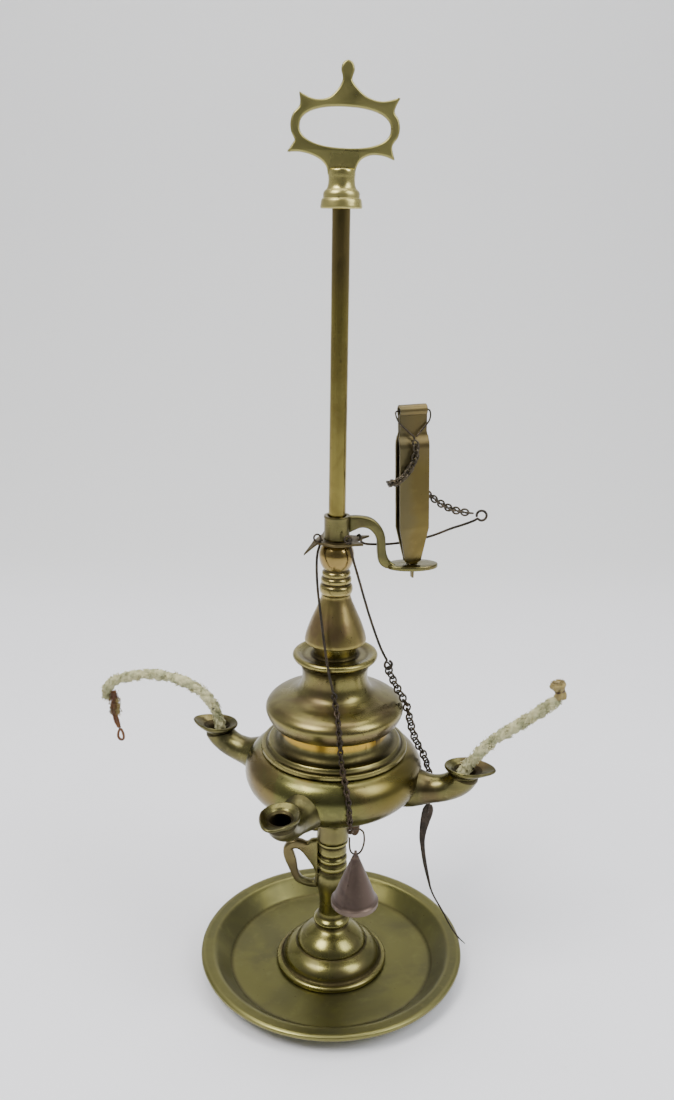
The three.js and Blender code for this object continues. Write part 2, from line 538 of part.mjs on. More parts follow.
// ---------------------------------------------------------------- finial
// A flat cast handle with an oval finger hole, four hooked tips and a bud. The tips are hand filed,
// so the two sides differ. Outline points are [x, z] from the middle of the finger hole.
function finialPlate() {
  const shape = new THREE.Shape();
  const spline = (target, points) => target.splineThru(points.map(([x, z]) => new THREE.Vector2(x, z)));
  shape.moveTo(5.9, -21);
  spline(shape, [[7.2, -15.6], [12.4, -11.9], [18.6, -11.8], [24.3, -13.6]]);
  spline(shape, [[22.8, -7.4]]);
  spline(shape, [[25.2, -3.4], [25.8, 0.8], [24.8, 4.6], [22.9, 7.6]]);
  spline(shape, [[25.2, 14]]);
  spline(shape, [[16.7, 12], [10, 13.5], [5.5, 16.7], [2.2, 21.1]]);
  spline(shape, [[3.1, 25.4], [0, 29], [-3.1, 25.4], [-2.2, 21.1]]);
  spline(shape, [[-3.9, 16.7], [-7.9, 12.7], [-12.2, 11.6], [-22.3, 14.4]]);
  spline(shape, [[-21.8, 8.6]]);
  spline(shape, [[-24.8, 4.8], [-25.9, 0.8], [-25.4, -3.2], [-23.5, -6.8]]);
  spline(shape, [[-27, -12.3]]);
  spline(shape, [[-20.8, -12], [-14.6, -13.2], [-9, -16.8], [-7.3, -21]]);
  shape.lineTo(5.9, -21);
  const hole = new THREE.Path();
  const squareness = 0.86;
  const rim = Array.from({ length: 25 }, (_, i) => {
    const angle = (2 * Math.PI * i) / 24;
    const [cos, sin] = [Math.cos(angle), Math.sin(angle)];
    return [21.5 * Math.sign(cos) * Math.abs(cos) ** squareness, 9.1 * Math.sign(sin) * Math.abs(sin) ** squareness];
  });
  hole.setFromPoints(rim.map(([x, z]) => new THREE.Vector2(x, z)));
  shape.holes.push(hole);
  const plate = uprightPlate(shape, 4.6, 2).rotateY(degrees(FINIAL_LEAN));
  return plate.translate(RING_CENTRE[0], 0, RING_CENTRE[1]);
}

function finial() {
  const socket = lathe([
    [0, FINIAL_BOTTOM], [10, FINIAL_BOTTOM], [10.1, 433.5], [9.5, 436.4], [9, 436.9], [8.9, 438.6],
    [8.2, 440.3], [6.9, 441.4], [6.3, 443.8], [6.3, 446.5], [6.7, 449.4], [0, 449.4],
  ], SMALL_SIDES);
  const bore = post(FIXED_BORE, FINIAL_BOTTOM - 1, ROD_TOP + GAP, SMALL_SIDES);
  return joined(socket, finialPlate()).subtract(solid(bore));
}

// ---------------------------------------------------------------- wicks
// Inside the spout: [distance out from the lamp's axis, share of the rise]. Outside: [distance, height].
const WICK_ROOT = [[58, 0.06], [62, 0.15], [67.3, 0.34], [71.2, 0.63], [73.4, 0.98]];
const WICKS = {
  left: [[73.8, 142.4], [77.4, 151], [82.8, 157.4], [91.3, 162.4], [104.9, 164.9], [121.9, 164.2],
    [138, 159.4], [150.2, 153], [154.2, 147], [154, 141.4]],
  right: [[75.6, 142.4], [80.2, 149], [86.8, 158], [96.1, 166.6], [106, 174.8], [115.3, 183.4], [121.4, 188.8]],
};
const TIES = {
  left: [[148.3, 148.2], [148.9, 144.9], [150.4, 135], [149.4, 127], [146.6, 119], [145, 116.4]],
  right: [[119.9, 192.7], [121.2, 194], [121.8, 196.4], [120.4, 199]],
};

function radial(points, azimuth) {
  const [sin, cos] = [Math.sin(degrees(azimuth)), Math.cos(degrees(azimuth))];
  return points.map(([out, height]) => [out * cos, out * sin, height]);
}

// ---------------------------------------------------------------- assembly
add('tray', tray(), AGED_BRASS);
add('rod', rod(), BRIGHT_BRASS);
add('stem', stem(), AGED_BRASS);
add('ear_handle', earHandle(), AGED_BRASS);
add('finial', finial(), AGED_BRASS);
add('height_collar', heightCollar(), AGED_BRASS);
add('thumbscrew', thumbscrew(), DARK_BRASS);
add('reservoir_bowl', reservoirBowl(), AGED_BRASS);
add('reservoir_neck', reservoirNeck(), BRIGHT_BRASS);
add('oil_tube', oilTube(), AGED_BRASS);
for (const [side, [azimuth, bore]] of Object.entries(SPOUTS)) {
  add(`spout_${side}`, spout(azimuth, bore), AGED_BRASS);
}
add('cover', cover(), AGED_BRASS);
add('cone', cone(), AGED_BRASS);
add('ringed_ball', ringedBall(), BRIGHT_BRASS);
add('chain_plate', chainPlate(), DARK_BRASS);
add('snuffer_wire', bar(SNUFFER_WIRE, WIRE_RADIUS), BLACK_WIRE);
add('pick_wire', bar(PICK_WIRE, WIRE_RADIUS), BLACK_WIRE);
add('tether_wire', wireWithEye(TETHER_WIRE, [76.8, 5, 278], 2.6), BLACK_WIRE);
add('snuffer_chain', bar(SNUFFER_CHAIN, CHAIN_RADIUS), BROWN_SHEET);
add('pick_chain', bar(PICK_CHAIN, CHAIN_RADIUS), BLACK_WIRE);
add('snuffer', snuffer(), BROWN_SHEET);
add('snuffer_loop', bar(SNUFFER_LOOP, WIRE_RADIUS), BLACK_WIRE);
add('pick', pick(), BLACK_WIRE);

const swivel = new THREE.Group();
swivel.rotation.z = degrees(BRACKET_AZIMUTH);
lamp.add(swivel);
add('bracket', bracket(), AGED_BRASS, swivel);
add('tweezers', tweezers(), AGED_BRASS, swivel);
add('tweezers_bail', tweezersBail(), BLACK_WIRE, swivel);
add('tweezers_chain', bar(TWEEZERS_CHAIN, CHAIN_RADIUS, 4), BLACK_WIRE, swivel);

for (const side of ['left', 'right']) {
  const [azimuth, bore] = SPOUTS[side];
  const root = WICK_ROOT.map(([out, share]) => [out, rise(bore, share)]);
  add(`wick_${side}`, bar(radial([...root, ...WICKS[side]], azimuth), WICK_RADIUS), COTTON);
  add(`wick_tie_${side}`, bar(radial(TIES[side], azimuth), 0.7), THREAD);
}

export default lamp;
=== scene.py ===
import json
import math
import random

import bmesh
import bpy
import numpy as np
from mathutils import Matrix, Vector


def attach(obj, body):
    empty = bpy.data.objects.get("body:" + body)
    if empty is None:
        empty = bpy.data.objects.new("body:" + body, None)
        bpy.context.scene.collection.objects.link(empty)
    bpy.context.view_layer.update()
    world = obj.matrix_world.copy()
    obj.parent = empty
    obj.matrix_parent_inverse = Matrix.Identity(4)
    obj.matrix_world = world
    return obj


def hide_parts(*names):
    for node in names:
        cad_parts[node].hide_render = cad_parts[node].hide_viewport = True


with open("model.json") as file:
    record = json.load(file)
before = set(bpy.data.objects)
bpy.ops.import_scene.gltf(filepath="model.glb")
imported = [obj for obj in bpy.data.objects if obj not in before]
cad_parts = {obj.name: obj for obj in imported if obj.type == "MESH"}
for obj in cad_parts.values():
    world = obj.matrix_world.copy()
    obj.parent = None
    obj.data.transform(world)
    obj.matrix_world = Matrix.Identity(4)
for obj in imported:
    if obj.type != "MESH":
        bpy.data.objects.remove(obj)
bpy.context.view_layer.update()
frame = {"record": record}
MM = 0.001
NODE_BODY = {node: body for body, nodes in frame["record"]["behaviour"]["bodies"].items() for node in nodes}


def rotation(degrees, axis, size=4):
    return Matrix.Rotation(math.radians(degrees), size, axis)


def shift(x, y, z):
    """A move given in millimetres."""
    return Matrix.Translation((x * MM, y * MM, z * MM))


def bearing(degrees):
    return math.cos(math.radians(degrees)), math.sin(math.radians(degrees))


def link_in(name, data):
    thing = bpy.data.objects.new(name, data)
    bpy.context.scene.collection.objects.link(thing)
    return thing


# ---- camera
CAMERA_AT = (0.0002, -0.530, 0.4254)
CAMERA_PITCH_DOWN, CAMERA_ROLL = 17.38, 0.79
CAMERA_LENS, CAMERA_SENSOR = 34.21, 36


def make_camera():
    data = bpy.data.cameras.new("camera")
    data.lens = CAMERA_LENS
    data.sensor_width = CAMERA_SENSOR
    camera = link_in("camera", data)
    tilt, roll = rotation(90 - CAMERA_PITCH_DOWN, "X"), rotation(CAMERA_ROLL, "Z")
    camera.matrix_world = Matrix.Translation(CAMERA_AT) @ tilt @ roll
    bpy.context.scene.camera = camera


make_camera()


# ---- curves
def spline(points, step):
    """Points along a centripetal Catmull-Rom curve through the given points, about a step apart."""
    given = [np.array(p, float) for p in points]
    if len(given) == 2:
        given.insert(1, (given[0] + given[1]) / 2)
    ends = [2 * given[0] - given[1]] + given + [2 * given[-1] - given[-2]]
    out = [given[0]]
    for p0, p1, p2, p3 in zip(ends, ends[1:], ends[2:], ends[3:]):
        d1, d2, d3 = (max(np.linalg.norm(b - a), 1e-6) ** 0.5 for a, b in ((p0, p1), (p1, p2), (p2, p3)))
        m1 = d2 * ((p1 - p0) / d1 - (p2 - p0) / (d1 + d2) + (p2 - p1) / d2)
        m2 = d2 * ((p2 - p1) / d2 - (p3 - p1) / (d2 + d3) + (p3 - p2) / d3)
        count = max(1, round(np.linalg.norm(p2 - p1) / step))
        for k in range(1, count + 1):
            u = k / count
            h = (2 * u**3 - 3 * u**2 + 1, u**3 - 2 * u**2 + u, -2 * u**3 + 3 * u**2, u**3 - u**2)
            out.append(h[0] * p1 + h[1] * m1 + h[2] * p2 + h[3] * m2)
    return np.array(out)


def turning(before, here, after):
    a, b = here - before, after - here
    return math.degrees(abs(math.atan2(a[0] * b[1] - a[1] * b[0], a @ b)))


def outline(points, closed, corner=50, step=0.8, round_off=0.3):
    """A smooth 2-D outline whose sharp corners stay, with their edges broken by a small round."""
    p = [np.array(q, float) for q in points]
    n = len(p)
    if closed:
        sharp = [i for i in range(n) if turning(p[i - 1], p[i], p[(i + 1) % n]) > corner]
        if not sharp:
            looped = p[-2:] + p + p[:3]
            whole = spline(looped, step)
            start = np.argmin([np.linalg.norm(q - p[0]) for q in whole[: len(whole) // 2]])
            end = len(whole) // 2 + np.argmin([np.linalg.norm(q - p[0]) for q in whole[len(whole) // 2:]])
            return whole[start:end]
        p = p[sharp[0]:] + p[: sharp[0]] + [p[sharp[0]]]
        breaks = [i - sharp[0] for i in sharp] + [n]
    else:
        breaks = [0] + [i for i in range(1, n - 1) if turning(p[i - 1], p[i], p[i + 1]) > corner] + [n - 1]
    runs = [spline(p[a:b + 1], step) for a, b in zip(breaks, breaks[1:])]
    out = []
    for i, run in enumerate(runs):
        length = np.linalg.norm(np.diff(run, axis=0), axis=1).sum()
        cut = min(round_off, length / 3)
        first_sharp = closed or i > 0
        last_sharp = closed or i < len(runs) - 1
        start, end = run[0], run[-1]
        body = [q for q in run[1:-1] if np.linalg.norm(q - start) > cut and np.linalg.norm(q - end) > cut]
        head = start + (run[1] - start) / np.linalg.norm(run[1] - start) * cut
        tail = end + (run[-2] - end) / np.linalg.norm(run[-2] - end) * cut
        out.append(head if first_sharp else start)
        out.extend(body)
        out.append(tail if last_sharp else end)
        if last_sharp:
            after = runs[(i + 1) % len(runs)]
            reach = min(round_off, np.linalg.norm(np.diff(after, axis=0), axis=1).sum() / 3)
            other = end + (after[1] - end) / np.linalg.norm(after[1] - end) * reach
            out.append(0.25 * tail + 0.5 * end + 0.25 * other)
    return np.array(out)


def tangents_of(path):
    tangents = np.gradient(path, axis=0)
    return tangents / np.linalg.norm(tangents, axis=1)[:, None]


def lengths_along(path):
    """The distance along a path to each of its points."""
    return np.concatenate([[0], np.cumsum(np.linalg.norm(np.diff(path, axis=0), axis=1))])


def frames_along(path):
    """Tangent, side and up of a path, carried along without twisting."""
    tangents = tangents_of(path)
    first = np.array((0, 0, 1.0)) if abs(tangents[0][2]) < 0.9 else np.array((0, 1.0, 0))
    up = first - tangents[0] * (first @ tangents[0])
    ups = []
    for t in tangents:
        up = up - t * (up @ t)
        up /= np.linalg.norm(up)
        ups.append(up)
    ups = np.array(ups)
    return tangents, np.cross(tangents, ups), ups


# ---- meshes
def mesh_of(shape, groove=None, name="part"):
    """A mesh from a (points, faces) pair in millimetres."""
    points, faces = shape
    mesh = bpy.data.meshes.new(name)
    mesh.from_pydata([tuple(float(c) * MM for c in p) for p in points], [], faces)
    if groove is not None:
        layer = mesh.attributes.new("groove", "FLOAT", "POINT")
        layer.data.foreach_set("value", np.asarray(groove, np.float32))
    return mesh


def make(name, shape, node, material, groove=None, sharp=35):
    """A mesh piece from a (points, faces) pair."""
    return place(name, mesh_of(shape, groove, name), node, material, sharp)


def place(name, mesh, node, material, sharp=35):
    """Joins a mesh's seams, and makes a piece of it on the CAD node's body, in place of the node's own part, which it
    hides.
    """
    work = bmesh.new()
    work.from_mesh(mesh)
    bmesh.ops.remove_doubles(work, verts=work.verts, dist=1e-6)
    bmesh.ops.recalc_face_normals(work, faces=work.faces)
    work.to_mesh(mesh)
    work.free()
    mesh.shade_smooth()
    mesh.set_sharp_from_angle(angle=math.radians(sharp))
    mesh.materials.clear()
    mesh.materials.append(material)
    piece = link_in(name, mesh)
    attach(piece, NODE_BODY[node])
    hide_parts(node)
    return piece


GROOVE_REACH, GROOVE_DEPTH = 2.4, 0.3


def hollow_score(profile, closed):
    """1 at the bottom of a groove, 0 on a plain or bulging surface, along a 2-D profile."""
    p = np.asarray(profile)
    area = 0.5 * np.sum(p[:, 0] * np.roll(p[:, 1], -1) - np.roll(p[:, 0], -1) * p[:, 1])
    steps = np.linalg.norm(np.diff(np.vstack([p, p[:1]]), axis=0), axis=1)
    place_on = np.concatenate([[0], np.cumsum(steps)[:-1]])
    total = steps.sum()
    scores = []
    for i, here in enumerate(p):
        away = np.abs(place_on - place_on[i])
        if closed:
            away = np.minimum(away, total - away)
        near = p[away < GROOVE_REACH]
        ahead, behind = p[(i + 1) % len(p)], p[i - 1]
        along = ahead - behind
        out = np.array((along[1], -along[0])) * (1 if area > 0 else -1)
        out /= max(np.linalg.norm(out), 1e-9)
        scores.append(np.clip(((near.mean(axis=0) - here) @ out) / GROOVE_DEPTH, -1, 1))
    scores = np.array(scores)
    return np.convolve(np.concatenate([scores[-1:], scores, scores[:1]]), [0.25, 0.5, 0.25], "valid")


def revolved(line, sides, closed=True, centre=(0, 0), wobble=None):
    """Points and faces of a 2-D line turned about an upright axis. wobble(angle, radius, height) is added to
    the radius."""
    points, faces, n = [], [], len(line)
    for i in range(sides):
        angle = 2 * math.pi * i / sides
        for radius, height in line:
            r = radius + (wobble(angle, radius, height) if wobble and radius > 0.01 else 0)
            points.append((centre[0] + r * math.cos(angle), centre[1] + r * math.sin(angle), height))
        a, b = i * n, ((i + 1) % sides) * n
        for k in range(n if closed else n - 1):
            m = (k + 1) % n
            faces.append((a + k, b + k, b + m, a + m))
    return points, faces


def turned(name, profile, node, material, sides=128, corner=50, step=0.8, round_off=0.3, wobble=None):
    """A lathe-turned piece. Its profile starts and ends on the axis, or is a closed ring."""
    closed = profile[0][0] > 0
    line = outline(profile, closed, corner, step, round_off)
    groove = np.tile(hollow_score(line, closed), sides)
    return make(name, revolved(line, sides, closed, wobble=wobble), node, material, groove)


def swept(sections, closed=False):
    """Points and faces of a skin over cross-sections placed along a path: sections are rings of points."""
    count = len(sections[0])
    points = [q for ring in sections for q in ring]
    faces = []
    for band in range(len(sections) if closed else len(sections) - 1):
        low, high = band * count, ((band + 1) % len(sections)) * count
        for i in range(count):
            j = (i + 1) % count
            faces.append((low + i, low + j, high + j, high + i))
    if not closed:
        faces.append(tuple(range(count)))
        faces.append(tuple((len(sections) - 1) * count + i for i in range(count)))
    return points, faces


def circle(here, radius, side, up, sides):
    angles = [2 * math.pi * k / sides for k in range(sides)]
    return [here + radius * (math.cos(a) * side + math.sin(a) * up) for a in angles]


def rounded_bar(path, radius, sides=12):
    """A round bar along a path with blunted ends, radius being a number or a function of the share of the length."""
    path = np.asarray(path, float)
    _, side, up = frames_along(path)
    radii = [radius(i / (len(path) - 1)) if callable(radius) else radius for i in range(len(path))]
    rings = [circle(*each, sides) for each in zip(path, radii, side, up)]
    for end, inward, at in ((0, 1, 0), (-1, -2, len(rings) + 1)):
        beyond = path[end] - path[inward]
        beyond = beyond / max(np.linalg.norm(beyond), 1e-9)
        rings.insert(at, [path[end] + (q - path[end]) * 0.55 + beyond * radii[end] * 0.3 for q in rings[end]])
    return swept(rings)


def merged(parts):
    """Several (points, faces) pairs as one."""
    points, faces = [], []
    for some_points, some_faces in parts:
        base = len(points)
        points.extend(some_points)
        faces.extend(tuple(base + i for i in face) for face in some_faces)
    return points, faces


def plate_mesh(name, outer, holes, thickness, edge=0.5):
    """A flat plate in X and Y, centred on Z = 0, with rounded edges."""
    curve = bpy.data.curves.new(name, "CURVE")
    curve.dimensions = "2D"
    curve.fill_mode = "BOTH"
    curve.extrude = (thickness / 2 - edge) * MM
    curve.bevel_depth = edge * MM
    curve.bevel_resolution = 3
    curve.offset = -edge * MM
    for line in [outer, *holes]:
        line_spline = curve.splines.new("POLY")
        line_spline.points.add(len(line) - 1)
        for point, (x, y) in zip(line_spline.points, line):
            point.co = (x * MM, y * MM, 0, 1)
        line_spline.use_cyclic_u = True
    holder = link_in(name, curve)
    bpy.context.view_layer.update()
    evaluated = holder.evaluated_get(bpy.context.evaluated_depsgraph_get())
    mesh = bpy.data.meshes.new_from_object(evaluated)
    bpy.data.objects.remove(holder)
    bpy.data.curves.remove(curve)
    mesh.name = name
    return mesh


UPRIGHT = rotation(90, "X")


def softened(angle, power):
    """Cosine and sine, each to a power: below 1 the round that they draw goes towards a square."""
    return [math.copysign(abs(v) ** power, v) for v in (math.cos(angle), math.sin(angle))]


def ellipse(x, y, half_x, half_y, count=48, power=1.0):
    turns = (softened(2 * math.pi * i / count, power) for i in range(count))
    return [(x + half_x * c, y + half_y * s) for c, s in turns]


def join_meshes(first, *others):
    work = bmesh.new()
    work.from_mesh(first)
    for other in others:
        work.from_mesh(other)
    work.to_mesh(first)
    work.free()
    return first


# ---- materials
class Nodes:
    """A short way to write a material's node tree."""

    def __init__(self, name):
        self.material = bpy.data.materials.new(name)
        self.material.use_nodes = True
        self.tree = self.material.node_tree
        self.shader = self.tree.nodes["Principled BSDF"]
        self.coordinates = self.tree.nodes.new("ShaderNodeTexCoord").outputs["Object"]

    def link(self, source, target):
        self.tree.links.new(source, target)

    def noise(self, scale, detail=4, roughness=0.55, stretch=None, distortion=0):
        node = self.tree.nodes.new("ShaderNodeTexNoise")
        node.inputs["Scale"].default_value = scale
        node.inputs["Detail"].default_value = detail
        node.inputs["Roughness"].default_value = roughness
        node.inputs["Distortion"].default_value = distortion
        source = self.coordinates
        if stretch:
            mapping = self.tree.nodes.new("ShaderNodeMapping")
            mapping.inputs["Scale"].default_value = stretch
            self.link(source, mapping.inputs["Vector"])
            source = mapping.outputs["Vector"]
        self.link(source, node.inputs["Vector"])
        return node.outputs["Fac"]

    def math(self, operation, a, b, clamp=False):
        node = self.tree.nodes.new("ShaderNodeMath")
        node.operation = operation
        node.use_clamp = clamp
        for i, value in enumerate((a, b)):
            if isinstance(value, (int, float)):
                node.inputs[i].default_value = value
            else:
                self.link(value, node.inputs[i])
        return node.outputs[0]

    def span(self, value, low, high, out_low=0.0, out_high=1.0):
        node = self.tree.nodes.new("ShaderNodeMapRange")
        node.interpolation_type = "SMOOTHSTEP"
        self.link(value, node.inputs["Value"])
        for name, number in (("From Min", low), ("From Max", high), ("To Min", out_low), ("To Max", out_high)):
            node.inputs[name].default_value = number
        return node.outputs["Result"]

    def mix(self, factor, a, b):
        node = self.tree.nodes.new("ShaderNodeMix")
        node.data_type = "RGBA"
        self.link(factor, node.inputs["Factor"])
        for socket, value in ((node.inputs[6], a), (node.inputs[7], b)):
            if isinstance(value, tuple):
                socket.default_value = (*value, 1)
            else:
                self.link(value, socket)
        return node.outputs[2]

    def attribute(self, name):
        node = self.tree.nodes.new("ShaderNodeAttribute")
        node.attribute_name = name
        return node.outputs["Fac"]

    def axis(self, which):
        node = self.tree.nodes.new("ShaderNodeSeparateXYZ")
        self.link(self.coordinates, node.inputs[0])
        return node.outputs["XYZ".index(which)]

    def bump(self, height, strength, distance, under=None):
        node = self.tree.nodes.new("ShaderNodeBump")
        node.inputs["Strength"].default_value = strength
        node.inputs["Distance"].default_value = distance
        self.link(height, node.inputs["Height"])
        if under is not None:
            self.link(under, node.inputs["Normal"])
        return node.outputs["Normal"]


def brass(name, base, stain, bright, grime=(0.035, 0.026, 0.012), rough=(0.24, 0.44), lines=True, pits=0.12,
          blotch=38, zones=(), side=None, drips=None, patina=None):
    """Aged brass: blotches of stain, dark grooves, rubbed edges, fine turning lines and small pits.
    zones are (low height, high height, colour, amount) bands that fade in between the two heights,
    side is the same along X, painted shade that darkens one side of the piece, drips is a height range
    with short dark runs, and patina is a tint in broad patches."""
    n = Nodes(name)
    broad = n.noise(blotch, 3, 0.6, distortion=0.6)
    fine = n.noise(blotch * 7, 5, 0.65)
    colour = n.mix(n.span(broad, 0.38, 0.66), base, stain)
    colour = n.mix(n.span(fine, 0.5, 0.8, 0, 0.32), colour, bright)
    if patina:
        cloud = n.noise(26, 3, 0.55, distortion=0.5, stretch=(1, 1, 0.8))
        colour = n.mix(n.span(cloud, 0.47, 0.62, 0, patina[3]), colour, patina[:3])
    for low, high, tint, amount in zones:
        colour = n.mix(n.span(n.axis("Z"), low * MM, high * MM, 0, amount), colour, tint)
    # Painted shade: the colour darkens towards one side of the piece along X, the side that gets less light.
    if side:
        edge = n.math("ADD", n.axis("X"), n.math("MULTIPLY", n.math("SUBTRACT", broad, 0.5), 0.02))
        low, high, tint, amount = side
        ends = (high, low, amount, 0) if low > high else (low, high, 0, amount)
        colour = n.mix(n.span(edge, ends[0] * MM, ends[1] * MM, *ends[2:]), colour, tint)
    if drips:
        runs = n.span(n.noise(150, 2, 0.5, stretch=(1, 1, 0.12)), 0.6, 0.66)
        upper = n.span(n.axis("Z"), drips[0] * MM, drips[1] * MM)
        colour = n.mix(n.math("MULTIPLY", runs, upper), colour, grime)
    groove = n.attribute("groove")
    speckle = n.noise(900, 3, 0.7)
    in_groove = n.math("MULTIPLY", n.span(groove, 0.12, 0.9), n.span(speckle, 0.2, 0.6, 0.65, 1.0))
    colour = n.mix(n.math("MULTIPLY", in_groove, 0.85), colour, grime)
    on_edge = n.span(groove, -0.25, -0.95)
    colour = n.mix(n.math("MULTIPLY", on_edge, 0.55), colour, bright)
    spots = n.span(n.noise(420, 2, 0.5), 0.71, 0.77)
    colour = n.mix(n.math("MULTIPLY", spots, 0.6), colour, grime)
    n.link(colour, n.shader.inputs["Base Color"])
    n.shader.inputs["Metallic"].default_value = 1.0
    rough_value = n.span(broad, 0.3, 0.7, rough[0], rough[1])
    rough_value = n.math("ADD", rough_value, n.math("MULTIPLY", in_groove, 0.25), clamp=True)
    n.link(rough_value, n.shader.inputs["Roughness"])
    normal = n.bump(n.noise(1400, 4, 0.6), pits * 0.6, 0.0002)
    normal = n.bump(n.noise(70, 2, 0.5), 0.05, 0.0012, normal)
    if lines:
        normal = n.bump(n.noise(60, 2, 0.5, stretch=(1, 1, 55)), 0.1, 0.00012, normal)
    n.link(normal, n.shader.inputs["Normal"])
    return n.material


AGED = brass("aged_brass", (0.185, 0.168, 0.055), (0.135, 0.122, 0.05), (0.29, 0.262, 0.09), rough=(0.22, 0.34),
             patina=(0.13, 0.10, 0.045, 0.5))
# The bowl's side colour is painted shade: its right side, away from the key light, is darkened.
BOWL = brass("bowl_brass", (0.15, 0.142, 0.046), (0.112, 0.108, 0.042), (0.235, 0.222, 0.075), rough=(0.22, 0.34),
             pits=0.06, side=(12, 36, (0.13, 0.1, 0.024), 0.85), patina=(0.16, 0.10, 0.042, 0.6))
TRAY = brass("tray_brass", (0.15, 0.14, 0.048), (0.115, 0.108, 0.046), (0.222, 0.205, 0.075), rough=(0.3, 0.42),
             blotch=24)
COVER = brass("cover_brass", (0.186, 0.162, 0.056), (0.144, 0.118, 0.05), (0.3, 0.26, 0.088), rough=(0.24, 0.36),
              patina=(0.125, 0.085, 0.05, 0.6))
NECK = brass("neck_brass", (0.155, 0.138, 0.05), (0.11, 0.095, 0.04), (0.28, 0.24, 0.085), rough=(0.22, 0.34),
             zones=((154, 156.6, (0.46, 0.29, 0.045), 0.92),), drips=(153, 158))
BALL = brass("ball_brass", (0.26, 0.21, 0.075), (0.18, 0.14, 0.055), (0.40, 0.33, 0.12), rough=(0.18, 0.3),
             zones=((249, 253, (0.27, 0.18, 0.06), 0.7),))
CONE = brass("cone_brass", (0.306, 0.238, 0.0825), (0.212, 0.162, 0.0638), (0.408, 0.332, 0.112), rough=(0.26, 0.38),
             patina=(0.2, 0.13, 0.07, 0.7))
FINIAL = brass("finial_brass", (0.475, 0.413, 0.15), (0.362, 0.312, 0.119), (0.65, 0.575, 0.225), lines=False,
               zones=((450, 457, (0.3, 0.27, 0.1), 0.85),))
CAST = brass("cast_brass", (0.155, 0.138, 0.052), (0.115, 0.102, 0.046), (0.235, 0.21, 0.08), lines=False, pits=0.14,
             patina=(0.13, 0.09, 0.048, 0.5))
ROD = brass("rod_brass", (0.272, 0.218, 0.0612), (0.197, 0.153, 0.0432), (0.367, 0.306, 0.108), rough=(0.14, 0.26),
            pits=0.08, zones=((384, 408, (0.17, 0.125, 0.05), 0.75), (430, 446, (0.11, 0.085, 0.045), 0.6)))
# The tweezers' side colour is painted shade: the left part of the strip, where the back leg shows, is darkened.
TOOL = brass("tweezers_brass", (0.176, 0.13, 0.0422), (0.137, 0.101, 0.0354), (0.259, 0.194, 0.0646), rough=(0.26, 0.4),
             lines=False, zones=((302, 316, (0.17, 0.13, 0.06), 0.7),), side=(44, 35, (0.125, 0.105, 0.055), 0.75))
SNUFFER = brass("snuffer_sheet", (0.128, 0.092, 0.074), (0.09, 0.066, 0.055), (0.185, 0.14, 0.108),
                rough=(0.42, 0.6), lines=False, pits=0.2)
PLATE = brass("chain_plate_brass", (0.128, 0.1, 0.048), (0.08, 0.0616, 0.0336), (0.224, 0.18, 0.088),
              rough=(0.36, 0.56),
              lines=False, pits=0.25)
# The spouts' bright colour is raised so that the crest of each lip carries a painted highlight as well as rubbed wear.
AGED_SPOUT = brass("spout_brass", (0.132, 0.118, 0.044), (0.085, 0.076, 0.036), (0.36, 0.335, 0.15), lines=False,
                   pits=0.18, grime=(0.028, 0.02, 0.011), patina=(0.10, 0.068, 0.036, 0.7))
SCREW = brass("screw_brass", (0.105, 0.07, 0.0434), (0.07, 0.0476, 0.0315), (0.182, 0.133, 0.077), rough=(0.4, 0.55),
              lines=False)


def wire_material(name, base, rust, rough=0.5):
    n = Nodes(name)
    colour = n.mix(n.span(n.noise(160, 4, 0.6), 0.4, 0.68), base, rust)
    colour = n.mix(n.span(n.noise(1300, 3, 0.7), 0.6, 0.8, 0, 0.5), colour, (0.2, 0.16, 0.11))
    n.link(colour, n.shader.inputs["Base Color"])
    n.shader.inputs["Metallic"].default_value = 0.85
    n.link(n.span(n.noise(700, 3, 0.5), 0.3, 0.7, rough - 0.12, rough + 0.15), n.shader.inputs["Roughness"])
    n.link(n.bump(n.noise(1600, 4, 0.6), 0.35, 0.0002), n.shader.inputs["Normal"])
    return n.material


WIRE = wire_material("dark_wire", (0.04, 0.034, 0.026), (0.075, 0.055, 0.035))
CHAIN = wire_material("dark_chain", (0.042, 0.035, 0.024), (0.08, 0.06, 0.035))
BROWN_CHAIN = wire_material("brown_chain", (0.042, 0.032, 0.022), (0.08, 0.055, 0.035))
LIGHT_CHAIN = wire_material("tweezers_chain", (0.06, 0.05, 0.034), (0.11, 0.085, 0.055), 0.42)
BLADE = wire_material("pick_steel", (0.034, 0.028, 0.022), (0.06, 0.045, 0.034), 0.5)


def cotton_material(name, base, dirt, light, specks):
    n = Nodes(name)
    colour = n.mix(n.span(n.noise(170, 4, 0.65), 0.42, 0.66, 0, 0.85), base, dirt)
    colour = n.mix(n.span(n.noise(1800, 3, 0.7), 0.55, 0.8, 0, 0.5), colour, light)
    dark = n.span(n.noise(330, 2, 0.5), 0.7, 0.76, 0, specks)
    colour = n.mix(dark, colour, (0.13, 0.125, 0.08))
    n.link(colour, n.shader.inputs["Base Color"])
    n.shader.inputs["Roughness"].default_value = 0.95
    n.shader.inputs["Sheen Weight"].default_value = 0.15
    n.shader.inputs["Sheen Roughness"].default_value = 0.5
    n.shader.inputs["Subsurface Weight"].default_value = 0.1
    n.shader.inputs["Subsurface Radius"].default_value = (0.002, 0.0018, 0.0015)
    n.link(n.bump(n.noise(2600, 4, 0.7), 0.6, 0.0004), n.shader.inputs["Normal"])
    return n.material


